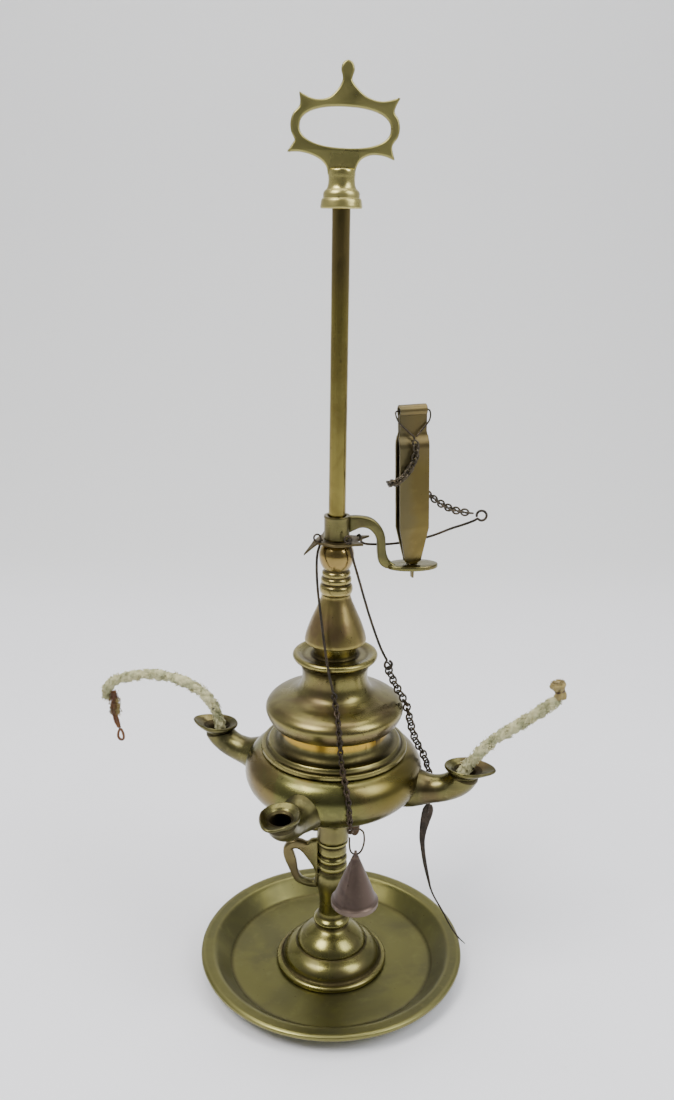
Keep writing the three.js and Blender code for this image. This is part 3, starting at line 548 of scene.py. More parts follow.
COTTON = cotton_material("wick_cotton", (0.56, 0.53, 0.30), (0.27, 0.28, 0.14), (0.80, 0.75, 0.50), 1.0)
THREAD = cotton_material("binding_thread", (0.16, 0.065, 0.022), (0.085, 0.034, 0.014), (0.27, 0.13, 0.05), 0.5)
TUFT = cotton_material("tan_tuft", (0.30, 0.23, 0.08), (0.17, 0.125, 0.05), (0.48, 0.39, 0.19), 0.6)
DARK_THREAD = cotton_material("dark_thread", (0.12, 0.075, 0.05), (0.07, 0.045, 0.03), (0.2, 0.13, 0.09), 0.1)


# ---- wicks
# Each spout's azimuth and the height of its bore where it leaves the bowl.
SPOUTS = {"right": (-14.5, 125.2), "back": (68.0, 127.6), "left": (156.3, 127.6), "front": (249.5, 127.6)}
MOUTH_BASE = 137.4
WICK_ROOT = [(58, 0.06), (62, 0.15), (67.3, 0.34), (71.2, 0.63), (73.4, 0.98)]
WICKS = {
    "left": [(73.8, 142.4), (77.4, 151), (82.8, 157.4), (91.3, 162.4), (104.9, 164.9), (121.9, 164.2),
             (138, 159.4), (150.2, 153), (154.2, 147), (154, 141.4)],
    "right": [(75.6, 142.4), (80.2, 149), (86.8, 158), (96.1, 166.6), (106, 174.8), (115.3, 183.4), (121.4, 188.8)],
}
WICK_RADIUS = 2.9
WICK_SIDES = 30
HIDDEN_RUN = 20
CLUMPS = 46
FIBRES = {"left": 1500, "right": 1150}
FIBRE_LIMIT, HIDDEN_FIBRE_LIMIT = 5.3, 4.2


def radial(points, azimuth):
    c, s = bearing(azimuth)
    return [(out * c, out * s, height) for out, height in points]


def rise(bore, share):
    return bore + share * (MOUTH_BASE - bore)


def wick(side, seed):
    """Loosely spun cotton: three plies round each other, with fibres and clumps standing off it. Every fifth
    fibre is a short one on the run that is hidden in the spout."""
    rng = random.Random(seed)
    azimuth, bore = SPOUTS[side]
    root = [(out, rise(bore, share)) for out, share in WICK_ROOT]
    path = spline(radial(root + WICKS[side], azimuth), 0.7)
    _, across, up = frames_along(path)
    lengths = lengths_along(path)
    total = lengths[-1]
    phases = [rng.uniform(0, 6.28) for _ in range(6)]
    rings = []
    for i, here in enumerate(path):
        s = lengths[i]
        loose = 1 + 0.10 * math.sin(s / 3.1 + phases[0]) + 0.07 * math.sin(s / 1.37 + phases[1])
        taper = min(1, 0.65 + (total - s) / 3.5)
        ring = []
        for k in range(WICK_SIDES):
            angle = 2 * math.pi * k / WICK_SIDES
            ply = abs(math.cos(1.5 * (angle - s / 2.6)))
            lump = 0.34 * math.sin(5 * angle + s * 2.3 + phases[2]) * math.sin(s * 1.1 + phases[3])
            inside = min(1, max(0, (s - 16) / 4))
            radius = WICK_RADIUS * (0.78 + 0.26 * inside) * taper * loose * (0.74 + 0.26 * ply + lump * 0.5)
            ring.append(here + radius * (math.cos(angle) * across[i] + math.sin(angle) * up[i]))
        rings.append(ring)
    parts = [swept(rings)]
    first = int(np.searchsorted(lengths, HIDDEN_RUN))
    clumps = [(rng.randrange(first + 3, len(path) - 1), rng.uniform(0, 2 * math.pi)) for _ in range(CLUMPS)]
    for k in range(FIBRES[side]):
        if k % 5 == 4:
            i, angle = rng.randrange(2, first), rng.uniform(0, 2 * math.pi)
            reach = rng.uniform(0.6, 1.2)
        elif k % 2 == 0:
            i, angle = clumps[rng.randrange(len(clumps))]
            i = min(max(i + rng.randrange(-2, 3), first), len(path) - 2)
            angle += rng.uniform(-0.35, 0.35)
            reach = rng.uniform(1.8, 3.4)
        else:
            i, angle = rng.randrange(first, len(path) - 1), rng.uniform(0, 2 * math.pi)
            reach = rng.uniform(1.2, 2.6)
        out = math.cos(angle) * across[i] + math.sin(angle) * up[i]
        along = (path[i + 1] - path[i]) / np.linalg.norm(path[i + 1] - path[i])
        start = path[i] + out * WICK_RADIUS * rng.uniform(0.62, 0.84)
        lean = rng.uniform(-1.1, 1.1)
        sweep = np.cross(out, along) * rng.uniform(-1, 1)
        middle = start + reach * 0.5 * (out * 0.8 + along * lean * 0.5 + sweep * 0.5)
        end = start + reach * (out * rng.uniform(0.3, 0.85) + along * lean + sweep * rng.uniform(0.2, 1.0))
        far = np.linalg.norm(end - path[i])
        end = path[i] + (end - path[i]) * min(1, (FIBRE_LIMIT if i >= first else HIDDEN_FIBRE_LIMIT) / far)
        parts.append(thin_strand([start, middle, end], rng.uniform(0.22, 0.48)))
    piece = make(f"wick_{side}_cotton", merged(parts), f"wick_{side}", COTTON, sharp=80)


def thin_strand(line, thick):
    """A three-sided hair along three points."""
    a, b, c = (np.asarray(p, float) for p in line)
    along = (c - a) / max(np.linalg.norm(c - a), 1e-9)
    side = np.cross(along, (0.31, 0.52, 0.79))
    side /= max(np.linalg.norm(side), 1e-9)
    up = np.cross(along, side)
    offsets = [math.cos(t) * side + math.sin(t) * up for t in (0, 2.09, 4.19)]
    points = [a + o * thick for o in offsets] + [b + o * thick * 0.8 for o in offsets] + [c]
    faces = [(0, 1, 4, 3), (1, 2, 5, 4), (2, 0, 3, 5), (3, 4, 6), (4, 5, 6), (5, 3, 6), (0, 2, 1)]
    return points, faces


def hair(start, end, thick):
    return thin_strand([start, (start + end) / 2, end], thick)


wick("left", 3)
wick("right", 8)


def twisted_pair(path, radius, strand, pitch):
    """Two thin strands wound round each other along a path."""
    line = spline(path, 0.35)
    _, across, up = frames_along(line)
    lengths = lengths_along(line)
    parts = []
    for turn in (0, math.pi):
        angles = 2 * math.pi * lengths / pitch + turn
        wound = [p + radius * (math.cos(t) * a + math.sin(t) * u) for p, t, a, u in zip(line, angles, across, up)]
        parts.append(rounded_bar(wound, strand, 7))
    return parts


def tie_left():
    """A fuzzy knot of orange-brown yarn on the drooping wick, with two strands that end in a loop."""
    rng = random.Random(5)
    azimuth = SPOUTS["left"][0]
    c, s = bearing(azimuth)
    parts = []
    for aside, bow in ((-0.75, -1), (0.75, 1)):
        strand = [(148.6 + aside * 0.5, 147.5), (149 + aside, 139), (149 + aside, 132),
                  (148.2 + aside * 1.35 + bow * 0.2, 127.6), (146.5 + aside * 0.4, 123.2)]
        parts += twisted_pair(radial(strand, azimuth), 0.5, 0.55, 3.0)
    loop = []
    for i in range(22):
        angle = 2 * math.pi * i / 21
        out = 145.5 + 1.85 * math.sin(angle) * (1.1 - 0.35 * math.cos(angle))
        height = 118.6 + 3.6 * math.cos(angle)
        loop.append((out * c, out * s, height))
    parts += [rounded_bar(spline(loop, 0.4), 0.82, 8)]
    for _ in range(900):
        height = rng.uniform(131.5, 147.5)
        wide = 1.25 + 0.5 * math.sin((height - 131) / 16 * math.pi)
        out = 149 + rng.gauss(0, 0.75) * wide
        start = np.array((out * c, out * s, height)) + np.array((-s, c, 0)) * rng.gauss(0, 0.8) * wide
        end = start + np.array([rng.uniform(-1.1, 1.1), rng.uniform(-1.1, 1.1), rng.uniform(-2.4, 1.2)])
        parts.append(hair(start, end, rng.uniform(0.12, 0.26)))
    make("wick_tie_left_binding", merged(parts), "wick_tie_left", THREAD, sharp=80)
    halo = []
    for _ in range(420):
        side = rng.choice((-1, 1, 1))
        height = rng.uniform(132, 143)
        out = 149 + side * rng.uniform(-3.6, 0.4) if side > 0 else 149 + rng.uniform(1.4, 3.4)
        start = np.array((out * c, out * s, height)) + np.array((-s, c, 0)) * rng.uniform(-1.4, 1.4)
        end = start + np.array([rng.uniform(-1.3, 1.3), rng.uniform(-1.2, 1.2), rng.uniform(-1.8, 1.4)])
        halo.append(hair(start, end, rng.uniform(0.2, 0.4)))
    make("wick_tie_left_halo", merged(halo), "wick_tie_left", TUFT, sharp=80)


TUFT_SHARES = [0, 0.25, 0.4, 0.55, 0.66, 0.82, 0.94, 1]
TUFT_RADII = [3.1, 3.1, 2.5, 2.6, 3.9, 4.3, 3.7, 1.6]


def tie_right():
    """A thread drawn tight round the wick near its end, and the cotton that mushrooms out beyond it."""
    rng = random.Random(6)
    azimuth = SPOUTS["right"][0]
    route = [(122.4, 189.6), (121.9, 192), (121.3, 194.2), (120.5, 196.4), (120, 198.4)]
    path = spline(radial(route, azimuth), 0.3)
    tangents, across, up = frames_along(path)
    rings = []
    for i, here in enumerate(path):
        u = i / (len(path) - 1)
        radius = float(np.interp(u, TUFT_SHARES, TUFT_RADII))
        ring = []
        for a in (2 * math.pi * k / 26 for k in range(26)):
            lumpy = radius * (1 + 0.12 * math.sin(5 * a + u * 9))
            ring.append(here + lumpy * (math.cos(a) * across[i] + math.sin(a) * up[i]))
        rings.append(ring)
    parts = [swept(rings)]
    for _ in range(1100):
        i = rng.randrange(int(len(path) * 0.62), len(path))
        a = rng.uniform(0, 2 * math.pi)
        out = math.cos(a) * across[i] + math.sin(a) * up[i]
        start = path[i] + out * rng.uniform(1.2, 3.3)
        end = start + out * rng.uniform(0.1, 0.9) + tangents[i] * rng.uniform(-0.9, 1.1)
        end = end + np.cross(out, tangents[i]) * rng.uniform(-1.2, 1.2)
        parts.append(hair(start, end, rng.uniform(0.15, 0.3)))
    make("wick_tie_right_tuft", merged(parts), "wick_tie_right", TUFT, sharp=80)
    i = int(len(path) * 0.42)
    coil = []
    for k in range(70):
        a = 4 * math.pi * k / 69
        out = math.cos(a) * across[i] + math.sin(a) * up[i]
        coil.append(path[i] + tangents[i] * (0.5 * k / 69 - 0.25) + 2.5 * out)
    tail = [coil[-1] + np.array((0.6, -0.6, -1.2)), coil[-1] + np.array((1.0, -1.0, -3.4))]
    make("wick_tie_right_thread", rounded_bar(coil + tail, 0.26, 7), "wick_tie_right", DARK_THREAD, sharp=80)


tie_left()
tie_right()


# ---- tray, stem, rod
def dents(amount, seed):
    """A slow unevenness round a piece, as in hand-finished castings."""
    rng = random.Random(seed)
    waves = [(k, rng.uniform(0, 6.28), rng.uniform(0.4, 1)) for k in (2, 3, 5, 9, 14, 23)]

    def offset(angle, radius, height):
        total = sum(w * math.sin(k * angle + p + height * 0.05) / (1 + k * 0.18) for k, p, w in waves)
        return amount * total * min(1, radius / 20)
    return offset


turned("tray_dish", [
    (0, 0.0), (45, 0), (57, 0), (58.8, 0.05), (61, 0.8), (65.2, 4.9), (69.3, 8.9), (70.6, 9.4), (74.4, 9.3),
    (76, 8.8), (77.1, 9.2), (77.6, 10.3), (77.4, 11.5), (76.3, 12.15), (73, 12.2), (70.3, 12), (68.9, 11.2),
    (64.8, 7.3), (61.4, 4.1), (60.1, 2.9), (58.2, 2.45), (45, 2.4), (30, 2.4), (0, 2.4),
], "tray", TRAY, sides=192, corner=42, step=1.0, wobble=dents(0.1, 2))

STEM = [
    (5.0, 2.7), (32.6, 2.7), (32.8, 4), (32.1, 5.1), (31.1, 5.5), (29.9, 5.6), (29, 6.4), (27.7, 9.3),
    (24.8, 12.6), (21.4, 14.6), (20.5, 15.1), (20.3, 16.3), (18.6, 19.2), (14.8, 22.7), (10.6, 25.3), (8.5, 27.2),
    (8.5, 27.9), (10.1, 28.6), (10.8, 30.2), (10.1, 31.6), (8.4, 33.2), (7.6, 35.2), (7.3, 40), (7.6, 46.5),
    (8.7, 52.5), (9.2, 57.5), (8.9, 61.4), (7.7, 64.2), (7.8, 65.1), (8.6, 65.8), (8.7, 67), (8.6, 68.2),
    (7.8, 69.4), (7.9, 70.3), (8.5, 71), (8.5, 73), (7.5, 74.2), (7.6, 74.9), (8.3, 76), (8.0, 79.4), (8.2, 81.6),
    (9, 82.5), (9, 83.8), (5.0, 83.8),
]
turned("stem_baluster", STEM, "stem", AGED, sides=112, corner=62, step=0.6, round_off=0.2, wobble=dents(0.03, 4))
turned("rod_shaft", [(0, 0), (7.4, 0), (4.5, 1.5), (4.5, 446), (0, 446)], "rod", ROD, sides=48, step=6, corner=20,
       round_off=0.3)


def ear_handle():
    outer = outline([
        (-8.2, 83.7), (-12.3, 83.2), (-14.9, 81.6), (-17.8, 82.8), (-21.3, 83.4), (-25.2, 81.9), (-28, 79),
        (-28.8, 75.4), (-28, 70.6), (-25.8, 65), (-23.6, 59.4), (-21.4, 55.4), (-17.1, 53), (-12.6, 51.7),
        (-8.6, 51.6), (-8.3, 54.8), (-8.6, 60), (-7.8, 64.6), (-7.9, 72), (-7.9, 79),
    ], True, corner=60, step=0.6)
    hole = outline([
        (-23.2, 77), (-21, 77.4), (-18.2, 75.6), (-15, 71.2), (-12.2, 66.8), (-10.2, 62.4), (-9.6, 58.2), (-11, 56.1),
        (-14.4, 56.3), (-18, 58.2), (-19.9, 62.4), (-21.2, 70.5),
    ], True, corner=75, step=0.6)
    mesh = plate_mesh("ear_handle_casting", outer, [hole], 4.6, 1.5)
    mesh.transform(UPRIGHT)
    place("ear_handle_casting", mesh, "ear_handle", CAST, 40)


ear_handle()


# ---- collar and screw
SCREW_HEIGHT = 92


def ring_of(profile, sides, corner, step, round_off):
    """A closed profile turned about the rod's axis."""
    return revolved(outline(profile, True, corner, step, round_off), sides)


def level(*outs):
    """A line along X at the thumbscrew's height."""
    return [(out, 0, SCREW_HEIGHT) for out in outs]


def height_collar():
    profile = [(5.1, 84.1), (8.9, 84.1), (9.2, 85), (9.3, 86.4), (9.2, 88), (9.2, 93), (9.3, 95.6), (8.8, 97.1),
               (5.1, 97.1)]
    boss = rounded_bar(spline(level(-8.4, -10.4, -12.1), 0.5), lambda u: 2.6 + 0.4 * math.sin(u * math.pi), 24)
    make("height_collar_ring", merged([ring_of(profile, 72, 50, 0.8, 0.25), boss]), "height_collar", AGED)


height_collar()


def thumbscrew():
    shank = rounded_bar(spline(level(5.2, 8, 11.2), 0.4), 1.55, 20)
    wing = plate_mesh("thumbscrew_wing", outline(ellipse(12.7, 91.2, 2.9, 5, 20), True, 60, 0.4), [], 2.4, 0.8)
    wing.transform(UPRIGHT)
    place("thumbscrew_wing", join_meshes(wing, mesh_of(shank)), "thumbscrew", SCREW, 40)


thumbscrew()


# ---- reservoir
turned("bowl_body", [
    (6.7, 97.4), (9.3, 97.4), (9.5, 98.4), (9.4, 102.5), (10.3, 106.8), (13.4, 109.5), (22, 110.6), (31, 112),
    (38.5, 115), (44.5, 119.4), (48.6, 124.8), (49.9, 130), (49, 136), (45.8, 140.9), (42.5, 143.2), (40.4, 143.8),
    (38.6, 143.8),
    (39.6, 142.4), (44.3, 139.8), (47.3, 135.2), (48.2, 130), (47.1, 125.7), (43.4, 120.8), (37.8, 116.7),
    (30.6, 113.7),
    (22, 112.3), (6.7, 112),
], "reservoir_bowl", BOWL, sides=160, corner=60, step=1.2, wobble=dents(0.09, 7))
turned("neck_plate", [
    (38.5, 144.1), (40.2, 144.0), (40.9, 144.7), (41.0, 145.6), (40.7, 146.5), (39.8, 147), (38.2, 147.1),
    (37.5, 147.6),
    (37.2, 148.4), (36.5, 149.1), (34.8, 149.3), (32.4, 150.1), (30.8, 152.2), (30.1, 155.4), (30, 163.2),
    (28.5, 163.2),
    (28.5, 152), (30.5, 148.8), (34, 147.1), (38, 145.6),
], "reservoir_neck", NECK, sides=144, corner=62, step=0.7, round_off=0.2, wobble=dents(0.05, 9))
turned("oil_tube_wall", [(5, 97.4), (6.4, 97.4), (6.4, 197.2), (5, 197.2)], "oil_tube", AGED, sides=48, step=5)

# Stations of a spout: distance out, share of the rise from bore to mouth, tilt and outer radius.
SPOUT_BEND = [(40, 0, 0, 12), (46, 0, 0, 11.3), (50.5, 0, 1, 9.9), (55.5, 0.03, 5, 8.3), (61.5, 0.13, 16, 7.6),
              (67.2, 0.33, 35, 7.5), (71.6, 0.62, 55, 7.8), (74, 0.91, 75, 8.1)]
# Stations of the lip: distance out, height, tilt, reach inward, outward and sideways, and how pointed it is.
SPOUT_MOUTH = [
    (74.45, 137.2, 85, 7.7, 7.7, 7.7, 0), (74.6, 137.8, 88, 7.4, 7.4, 7.4, 0), (75, 138.5, 90, 8.2, 8.3, 8.1, 0),
    (75.5, 139.3, 90, 9.8, 10.1, 8.9, 0.08), (76.2, 140.4, 90, 12.2, 12.6, 9.9, 0.2),
    (76.8, 141.2, 90, 13.7, 14.1, 10.2, 0.28), (76.9, 141.9, 90, 14.0, 14.4, 10.35, 0.3),
    (76.9, 142.5, 90, 13.7, 14.1, 10.1, 0.3), (76.85, 142.6, 90, 13.0, 13.4, 9.6, 0.3),
    (76.7, 142.1, 90, 11.8, 12.2, 8.8, 0.28), (76.3, 141.4, 90, 9.6, 10.0, 7.9, 0.16),
    (75.8, 140.4, 90, 7.6, 7.9, 6.7, 0.06), (75.1, 139.3, 88, 5.5, 5.5, 5.5, 0),
]


SPOUT_BORE = 5


def spout_ring(station, sides=44):
    out, height, tilt, inward, outward, sideways, point = station
    cos, sin = bearing(tilt)
    ring = []
    for i in range(sides):
        angle = 2 * math.pi * i / sides
        reach = math.cos(angle) * (outward if math.cos(angle) > 0 else inward)
        side = math.sin(angle) * sideways * (1 - point * max(0, math.cos(angle)))
        ring.append(np.array((out + reach * sin, side, height - reach * cos)))
    return ring


def spout(side, seed):
    rng = random.Random(seed)
    bore = SPOUTS[side][1]
    outer = [(out, rise(bore, share), tilt, radius, radius, radius, 0) for out, share, tilt, radius in SPOUT_BEND]
    tube = spline(outer, 1.6)
    mouth = spline(SPOUT_MOUTH, 0.7)
    bores = [(out, height, tilt, SPOUT_BORE, SPOUT_BORE, SPOUT_BORE, 0) for out, height, tilt, *_ in reversed(outer)]
    channel = spline(bores, 2.5)
    phase = [rng.uniform(0, 6.28) for _ in range(3)]
    turn = rotation(SPOUTS[side][0], "Z", 3)
    rings = []
    for station in [*tube, *mouth, *channel]:
        plain = spout_ring(station)
        ring = []
        for i, q in enumerate(plain):
            a = 2 * math.pi * i / len(plain)
            nudge = 0.12 * math.sin(2 * a + phase[0] + q[2] * 0.4) + 0.07 * math.sin(5 * a + phase[1])
            q = q + np.array((0, math.copysign(nudge, q[1]) if abs(q[1]) > 1 else 0, nudge * 0.6))
            ring.append(turn @ Vector(q))
        rings.append(ring)
    lip, inside = len(tube), len(tube) + len(mouth)
    scores = np.zeros(len(rings))
    # A score of -0.6 brightens the crest of the lip: rubbed wear with a painted highlight.
    for first, last, score in ((lip - 1, lip + 2, 0.75), (5, 7, 0.35), (inside - 7, len(rings), 0.9),
                               (lip + 6, lip + 11, -0.6)):
        scores[first:last + 1] = score
    groove = np.repeat(scores, len(rings[0]))
    make(f"spout_{side}_casting", swept(rings, closed=True), f"spout_{side}", AGED_SPOUT, groove, 50)


for seed, side in enumerate(SPOUTS):
    spout(side, seed)


# ---- cover, cone, ball
turned("cover_dome", [
    (35.2, 161.7), (36.3, 163.2), (37.6, 166), (38.2, 168.2), (38.1, 170), (37, 172), (34.5, 174), (30.5, 175.6),
    (25.5, 177.2), (21, 179.6), (18.9, 183), (18, 187), (18.2, 191.2), (19.3, 194.8), (21.2, 197),
    (22.7, 198.3), (23.3, 199.8), (22.8, 201), (21.4, 201.4), (19.8, 201), (17.6, 200.2), (14.5, 200.1), (12.3, 200.2),
    (11.8, 201), (11.8, 207.8), (5.1, 207.8), (5.1, 197.6), (14.6, 197.6), (16.5, 195.4), (16.3, 188), (16.9, 184),
    (17.4, 181.4), (19.7, 178.2), (24.7, 175.6), (29.7, 174), (33.4, 172.5), (35.4, 171), (36.3, 169.2), (36.4, 168),
    (36, 166.4), (34.6, 163.4), (33.8, 161.7),
], "cover", COVER, sides=160, corner=60, step=0.8, round_off=0.25, wobble=dents(0.06, 12))
turned("cone_spire", [
    (5.1, 208.1), (16.3, 208.1), (16.8, 208.8), (16.7, 209.8), (15.7, 214), (13.3, 220.5), (10.7, 226.5), (8.8, 231),
    (8.0, 233.6), (7.9, 235.2), (5.1, 235.2),
], "cone", CONE, sides=112, corner=60, round_off=0.2, wobble=dents(0.02, 14))
turned("ball_and_rings", [
    (5.1, 235.5), (7.9, 235.5), (8.6, 236.3), (8.9, 237.6), (8.9, 239.2), (8.4, 240.5), (7.5, 241.1), (7.5, 241.6),
    (8.1, 242.2), (8.25, 243.2), (8.1, 244.3), (7.5, 245), (7.4, 245.7), (7.7, 246.6), (7.5, 247.8), (6.8, 248.5),
    (6.8, 249.1), (7.5, 250.2), (8.6, 252.6), (9.3, 255.6), (9.35, 258), (8.5, 261), (6.9, 263.2), (5.1, 263.9),
], "ringed_ball", BALL, sides=96, corner=66, step=0.5, round_off=0.15, wobble=dents(0.02, 15))


# ---- finial
FINIAL_LEAN = 2.2


def finial():
    outer = outline([
        (-7.2, -21.6), (-7.8, -18.6), (-10.1, -15.7), (-14.6, -13.3), (-20.8, -12), (-27, -12.3), (-23.5, -6.8),
        (-25.4, -3.2), (-25.9, 0.8), (-24.8, 4.8), (-21.8, 8.6), (-22.3, 14.4), (-16.6, 12.0), (-12.2, 11.6),
        (-7.9, 12.8),
        (-3.9, 16.9), (-2.3, 20.6), (-2.5, 22.4), (-3.2, 25.2), (-2.2, 27.9), (0, 29), (2.2, 27.9), (3.2, 25.2),
        (2.5, 22.4),
        (2.3, 20.6), (5.5, 16.7), (10, 13.5), (16.7, 12.0), (25.2, 14), (22.9, 7.6), (24.9, 4.6), (25.8, 0.8),
        (25.2, -3.4),
        (22.8, -7.4), (24.3, -13.6), (18.6, -11.9), (12.4, -12), (8.2, -14.4), (6.2, -18.4), (5.9, -21.6),
    ], True, corner=58, step=0.6, round_off=0.4)
    hole = ellipse(0, -0.2, 21.5, 9.1, 96, 0.86)
    plate = plate_mesh("finial_plate", outer, [hole], 4.5, 1.0)
    plate.transform(shift(1.3, 0, 468.5) @ rotation(FINIAL_LEAN, "Y") @ UPRIGHT)
    socket = ring_of([
        (4.9, 431.9), (9.9, 431.9), (10.2, 432.6), (10.1, 433.6), (9.6, 436.2), (8.9, 436.9), (8.9, 438.4), (8.3, 440),
        (7.2, 441), (6.6, 442.6), (6.4, 445.2), (6.6, 448.2), (6.3, 449.8), (4.4, 450.4), (4.4, 446.4), (4.9, 446.2),
    ], 80, 62, 0.6, 0.2)
    place("finial_handle", join_meshes(plate, mesh_of(socket)), "finial", FINIAL, 38)


finial()


# ---- chain plate and wires
PLATE_HEIGHT = 264.85
# The point of the plate at this azimuth is bent down beyond this distance from the axis, by this slope.
PLATE_BEND, PLATE_BEND_FROM, PLATE_BEND_SLOPE = 200, 11.8, 0.95


def chain_plate():
    tips = [(25, 19.5), (115, 17), (200, 18.6), (329, 16.5)]
    star = []
    for i, (azimuth, reach) in enumerate(tips):
        following = tips[i + 1][0] if i + 1 < len(tips) else tips[0][0] + 360
        corners = [(azimuth, reach), (azimuth + 14, 12.6), ((azimuth + following) / 2, 11), (following - 14, 12.6)]
        star.extend((r * bearing(a)[0], r * bearing(a)[1]) for a, r in corners)
    holes = [ellipse(0, 0, 5.2, 5.2, 40)]
    holes += [ellipse(x, y, 1.1, 1.1, 16) for x, y in ((-8.9, -5.8), (6.9, -8), (12.6, 2.7))]
    mesh = plate_mesh("chain_plate_sheet", outline(star, True, 60, 0.6, 0.5), holes, 1.3, 0.3)
    work = bmesh.new()
    work.from_mesh(mesh)
    bmesh.ops.triangulate(work, faces=work.faces)
    long_edges = [e for e in work.edges if e.calc_length() > 2 * MM]
    bmesh.ops.subdivide_edges(work, edges=long_edges, cuts=2, use_grid_fill=True)
    away = Vector((*bearing(PLATE_BEND), 0))
    for v in work.verts:
        v.co.z += PLATE_HEIGHT * MM
        v.co.z -= PLATE_BEND_SLOPE * max(0, v.co.dot(away) - PLATE_BEND_FROM * MM)
        v.co.z += 0.00025 * math.sin(v.co.x * 260 + 1) * math.cos(v.co.y * 310)
    work.to_mesh(mesh)
    work.free()
    place("chain_plate_sheet", mesh, "chain_plate", PLATE, 30)


chain_plate()

SNUFFER_WIRE = [
    (-7.5, -6.3, 266.6), (-8.5, -6, 267.3), (-8.9, -5.8, 266), (-8.9, -5.9, 264), (-9.8, -6.9, 261), (-10.3, -8.2, 257),
    (-10.3, -9.6, 251), (-9.6, -12, 241), (-8.4, -14.6, 232), (-6.1, -19.6, 216), (-3.9, -24.4, 203),
    (-3.1, -24.9, 199),
    (-1.6, -25.1, 192), (-0.6, -25.3, 186.6),
]
PICK_WIRE = [
    (5.4, -7.6, 266.6), (6.2, -8, 267.3), (6.9, -8, 266), (7, -8, 264), (7.8, -8.2, 261), (9, -8, 256),
    (11.3, -7.3, 248),
    (18.3, -6.2, 224), (24.6, -5.4, 206), (27.2, -5.2, 200.5), (28.1, -5, 197.8),
]
TETHER_WIRE = [
    (11, 3.4, 266.5), (12, 3, 267.3), (12.6, 2.7, 266), (12.8, 2.7, 264), (14.4, 3.6, 262.4), (21.5, 7.8, 260.6),
    (33.9, 11.6, 260.4), (50.4, 12.4, 264.1), (61.9, 10.5, 269.4), (68.7, 7.5, 272.8), (73.4, 5.2, 275.6),
]


def ring_wire(centre, radius, wire, normal, count=28, sides=10):
    """A ring of round wire."""
    normal = Vector(normal).normalized()
    side = normal.orthogonal().normalized()
    up = normal.cross(side)
    rings = []
    for i in range(count):
        angle = 2 * math.pi * i / count
        out = side * math.cos(angle) + up * math.sin(angle)
        here = Vector(centre) + out * radius
        turns = [2 * math.pi * k / sides for k in range(sides)]
        rings.append([np.array(here + wire * (math.cos(t) * out + math.sin(t) * normal)) for t in turns])
    return swept(rings, closed=True)


def bent_wire(node, path, *curls):
    make(f"{node}_rod", merged([rounded_bar(spline(path, 0.8), 0.68, 10), *curls]), node, WIRE, sharp=80)


def wires():
    """The stiff wires, with the small curls that keep two of them in the plate's holes."""
    bend = [(-0.6, -25.3, 188.2), (0.7, -25.5, 187.2), (0.9, -25.7, 185.4), (-0.3, -25.7, 184.6), (-1.3, -25.5, 185.6),
            (-1.1, -25.3, 187)]
    bent_wire("snuffer_wire", SNUFFER_WIRE[:-1] + bend, ring_wire((-10.2, -6.6, 268.1), 1.8, 0.5, (0.25, -1, 0.3)))
    hook = [(28.1, -5, 198.6), (27.2, -4.9, 196.6), (27.4, -4.7, 194.4), (29.2, -4.5, 193.4), (30.8, -4.6, 194.8),
            (30.9, -4.8, 197), (29.6, -5, 198.4)]
    bent_wire("pick_wire", PICK_WIRE[:-1] + hook, ring_wire((5.8, -10.2, 268.4), 1.8, 0.5, (-0.2, -1, 0.3)))
    eye = []
    for i in range(13):
        c, s = bearing(215 + 28.5 * i)
        eye.append((76.8 + 2.6 * c, 5 + 0.12 * i, 278 + 2.6 * s))
    bent_wire("tether_wire", TETHER_WIRE + eye)


wires()


# ---- chains
def link(centre, along, flat, long_half, short_half, wire, sides=8, count=20):
    """One oval link: along is its long axis, flat the axis it lies flat against."""
    along = np.asarray(along, float)
    along /= np.linalg.norm(along)
    flat = flat - along * (flat @ along)
    flat /= np.linalg.norm(flat)
    side = np.cross(flat, along)
    rings = []
    for i in range(count):
        a = 2 * math.pi * i / count
        out = math.cos(a) * along * long_half + math.sin(a) * side * short_half
        unit = math.cos(a) * along * short_half + math.sin(a) * side * long_half
        unit /= np.linalg.norm(unit)
        rings.append(circle(centre + out, wire, unit, flat, sides))
    return swept(rings, closed=True)


def chain(name, node, path, material, pitch, long_half, short_half, wire, seed, doubled):
    """Oval links set along a path, each turned a quarter from the last. A doubled chain has a second, smaller
    link across each one."""
    rng = random.Random(seed)
    line = spline(path, 0.25)
    lengths = lengths_along(line)
    tangents, across, up = frames_along(line)
    total = lengths[-1]
    count = max(2, round(total / pitch))
    parts = []
    for k in range(count):
        i = int(np.searchsorted(lengths, (k + 0.5) * total / count))
        i = min(max(i, 1), len(line) - 2)
        angle = (math.pi / 2) * (k % 2) + math.radians(rng.uniform(-16, 16)) + math.radians(35)
        flat = math.cos(angle) * across[i] + math.sin(angle) * up[i]
        along = tangents[i] + 0.12 * np.array([rng.uniform(-1, 1) for _ in range(3)])
        parts.append(link(line[i], along, flat, long_half, short_half, wire))
        if doubled:
            crossed = flat * 0.8 + np.cross(along, flat) * 0.9
            parts.append(link(line[i], along, crossed, long_half * 0.62, short_half * 0.8, wire * 0.9))
    return make(name, merged(parts), node, material, sharp=80), line, total


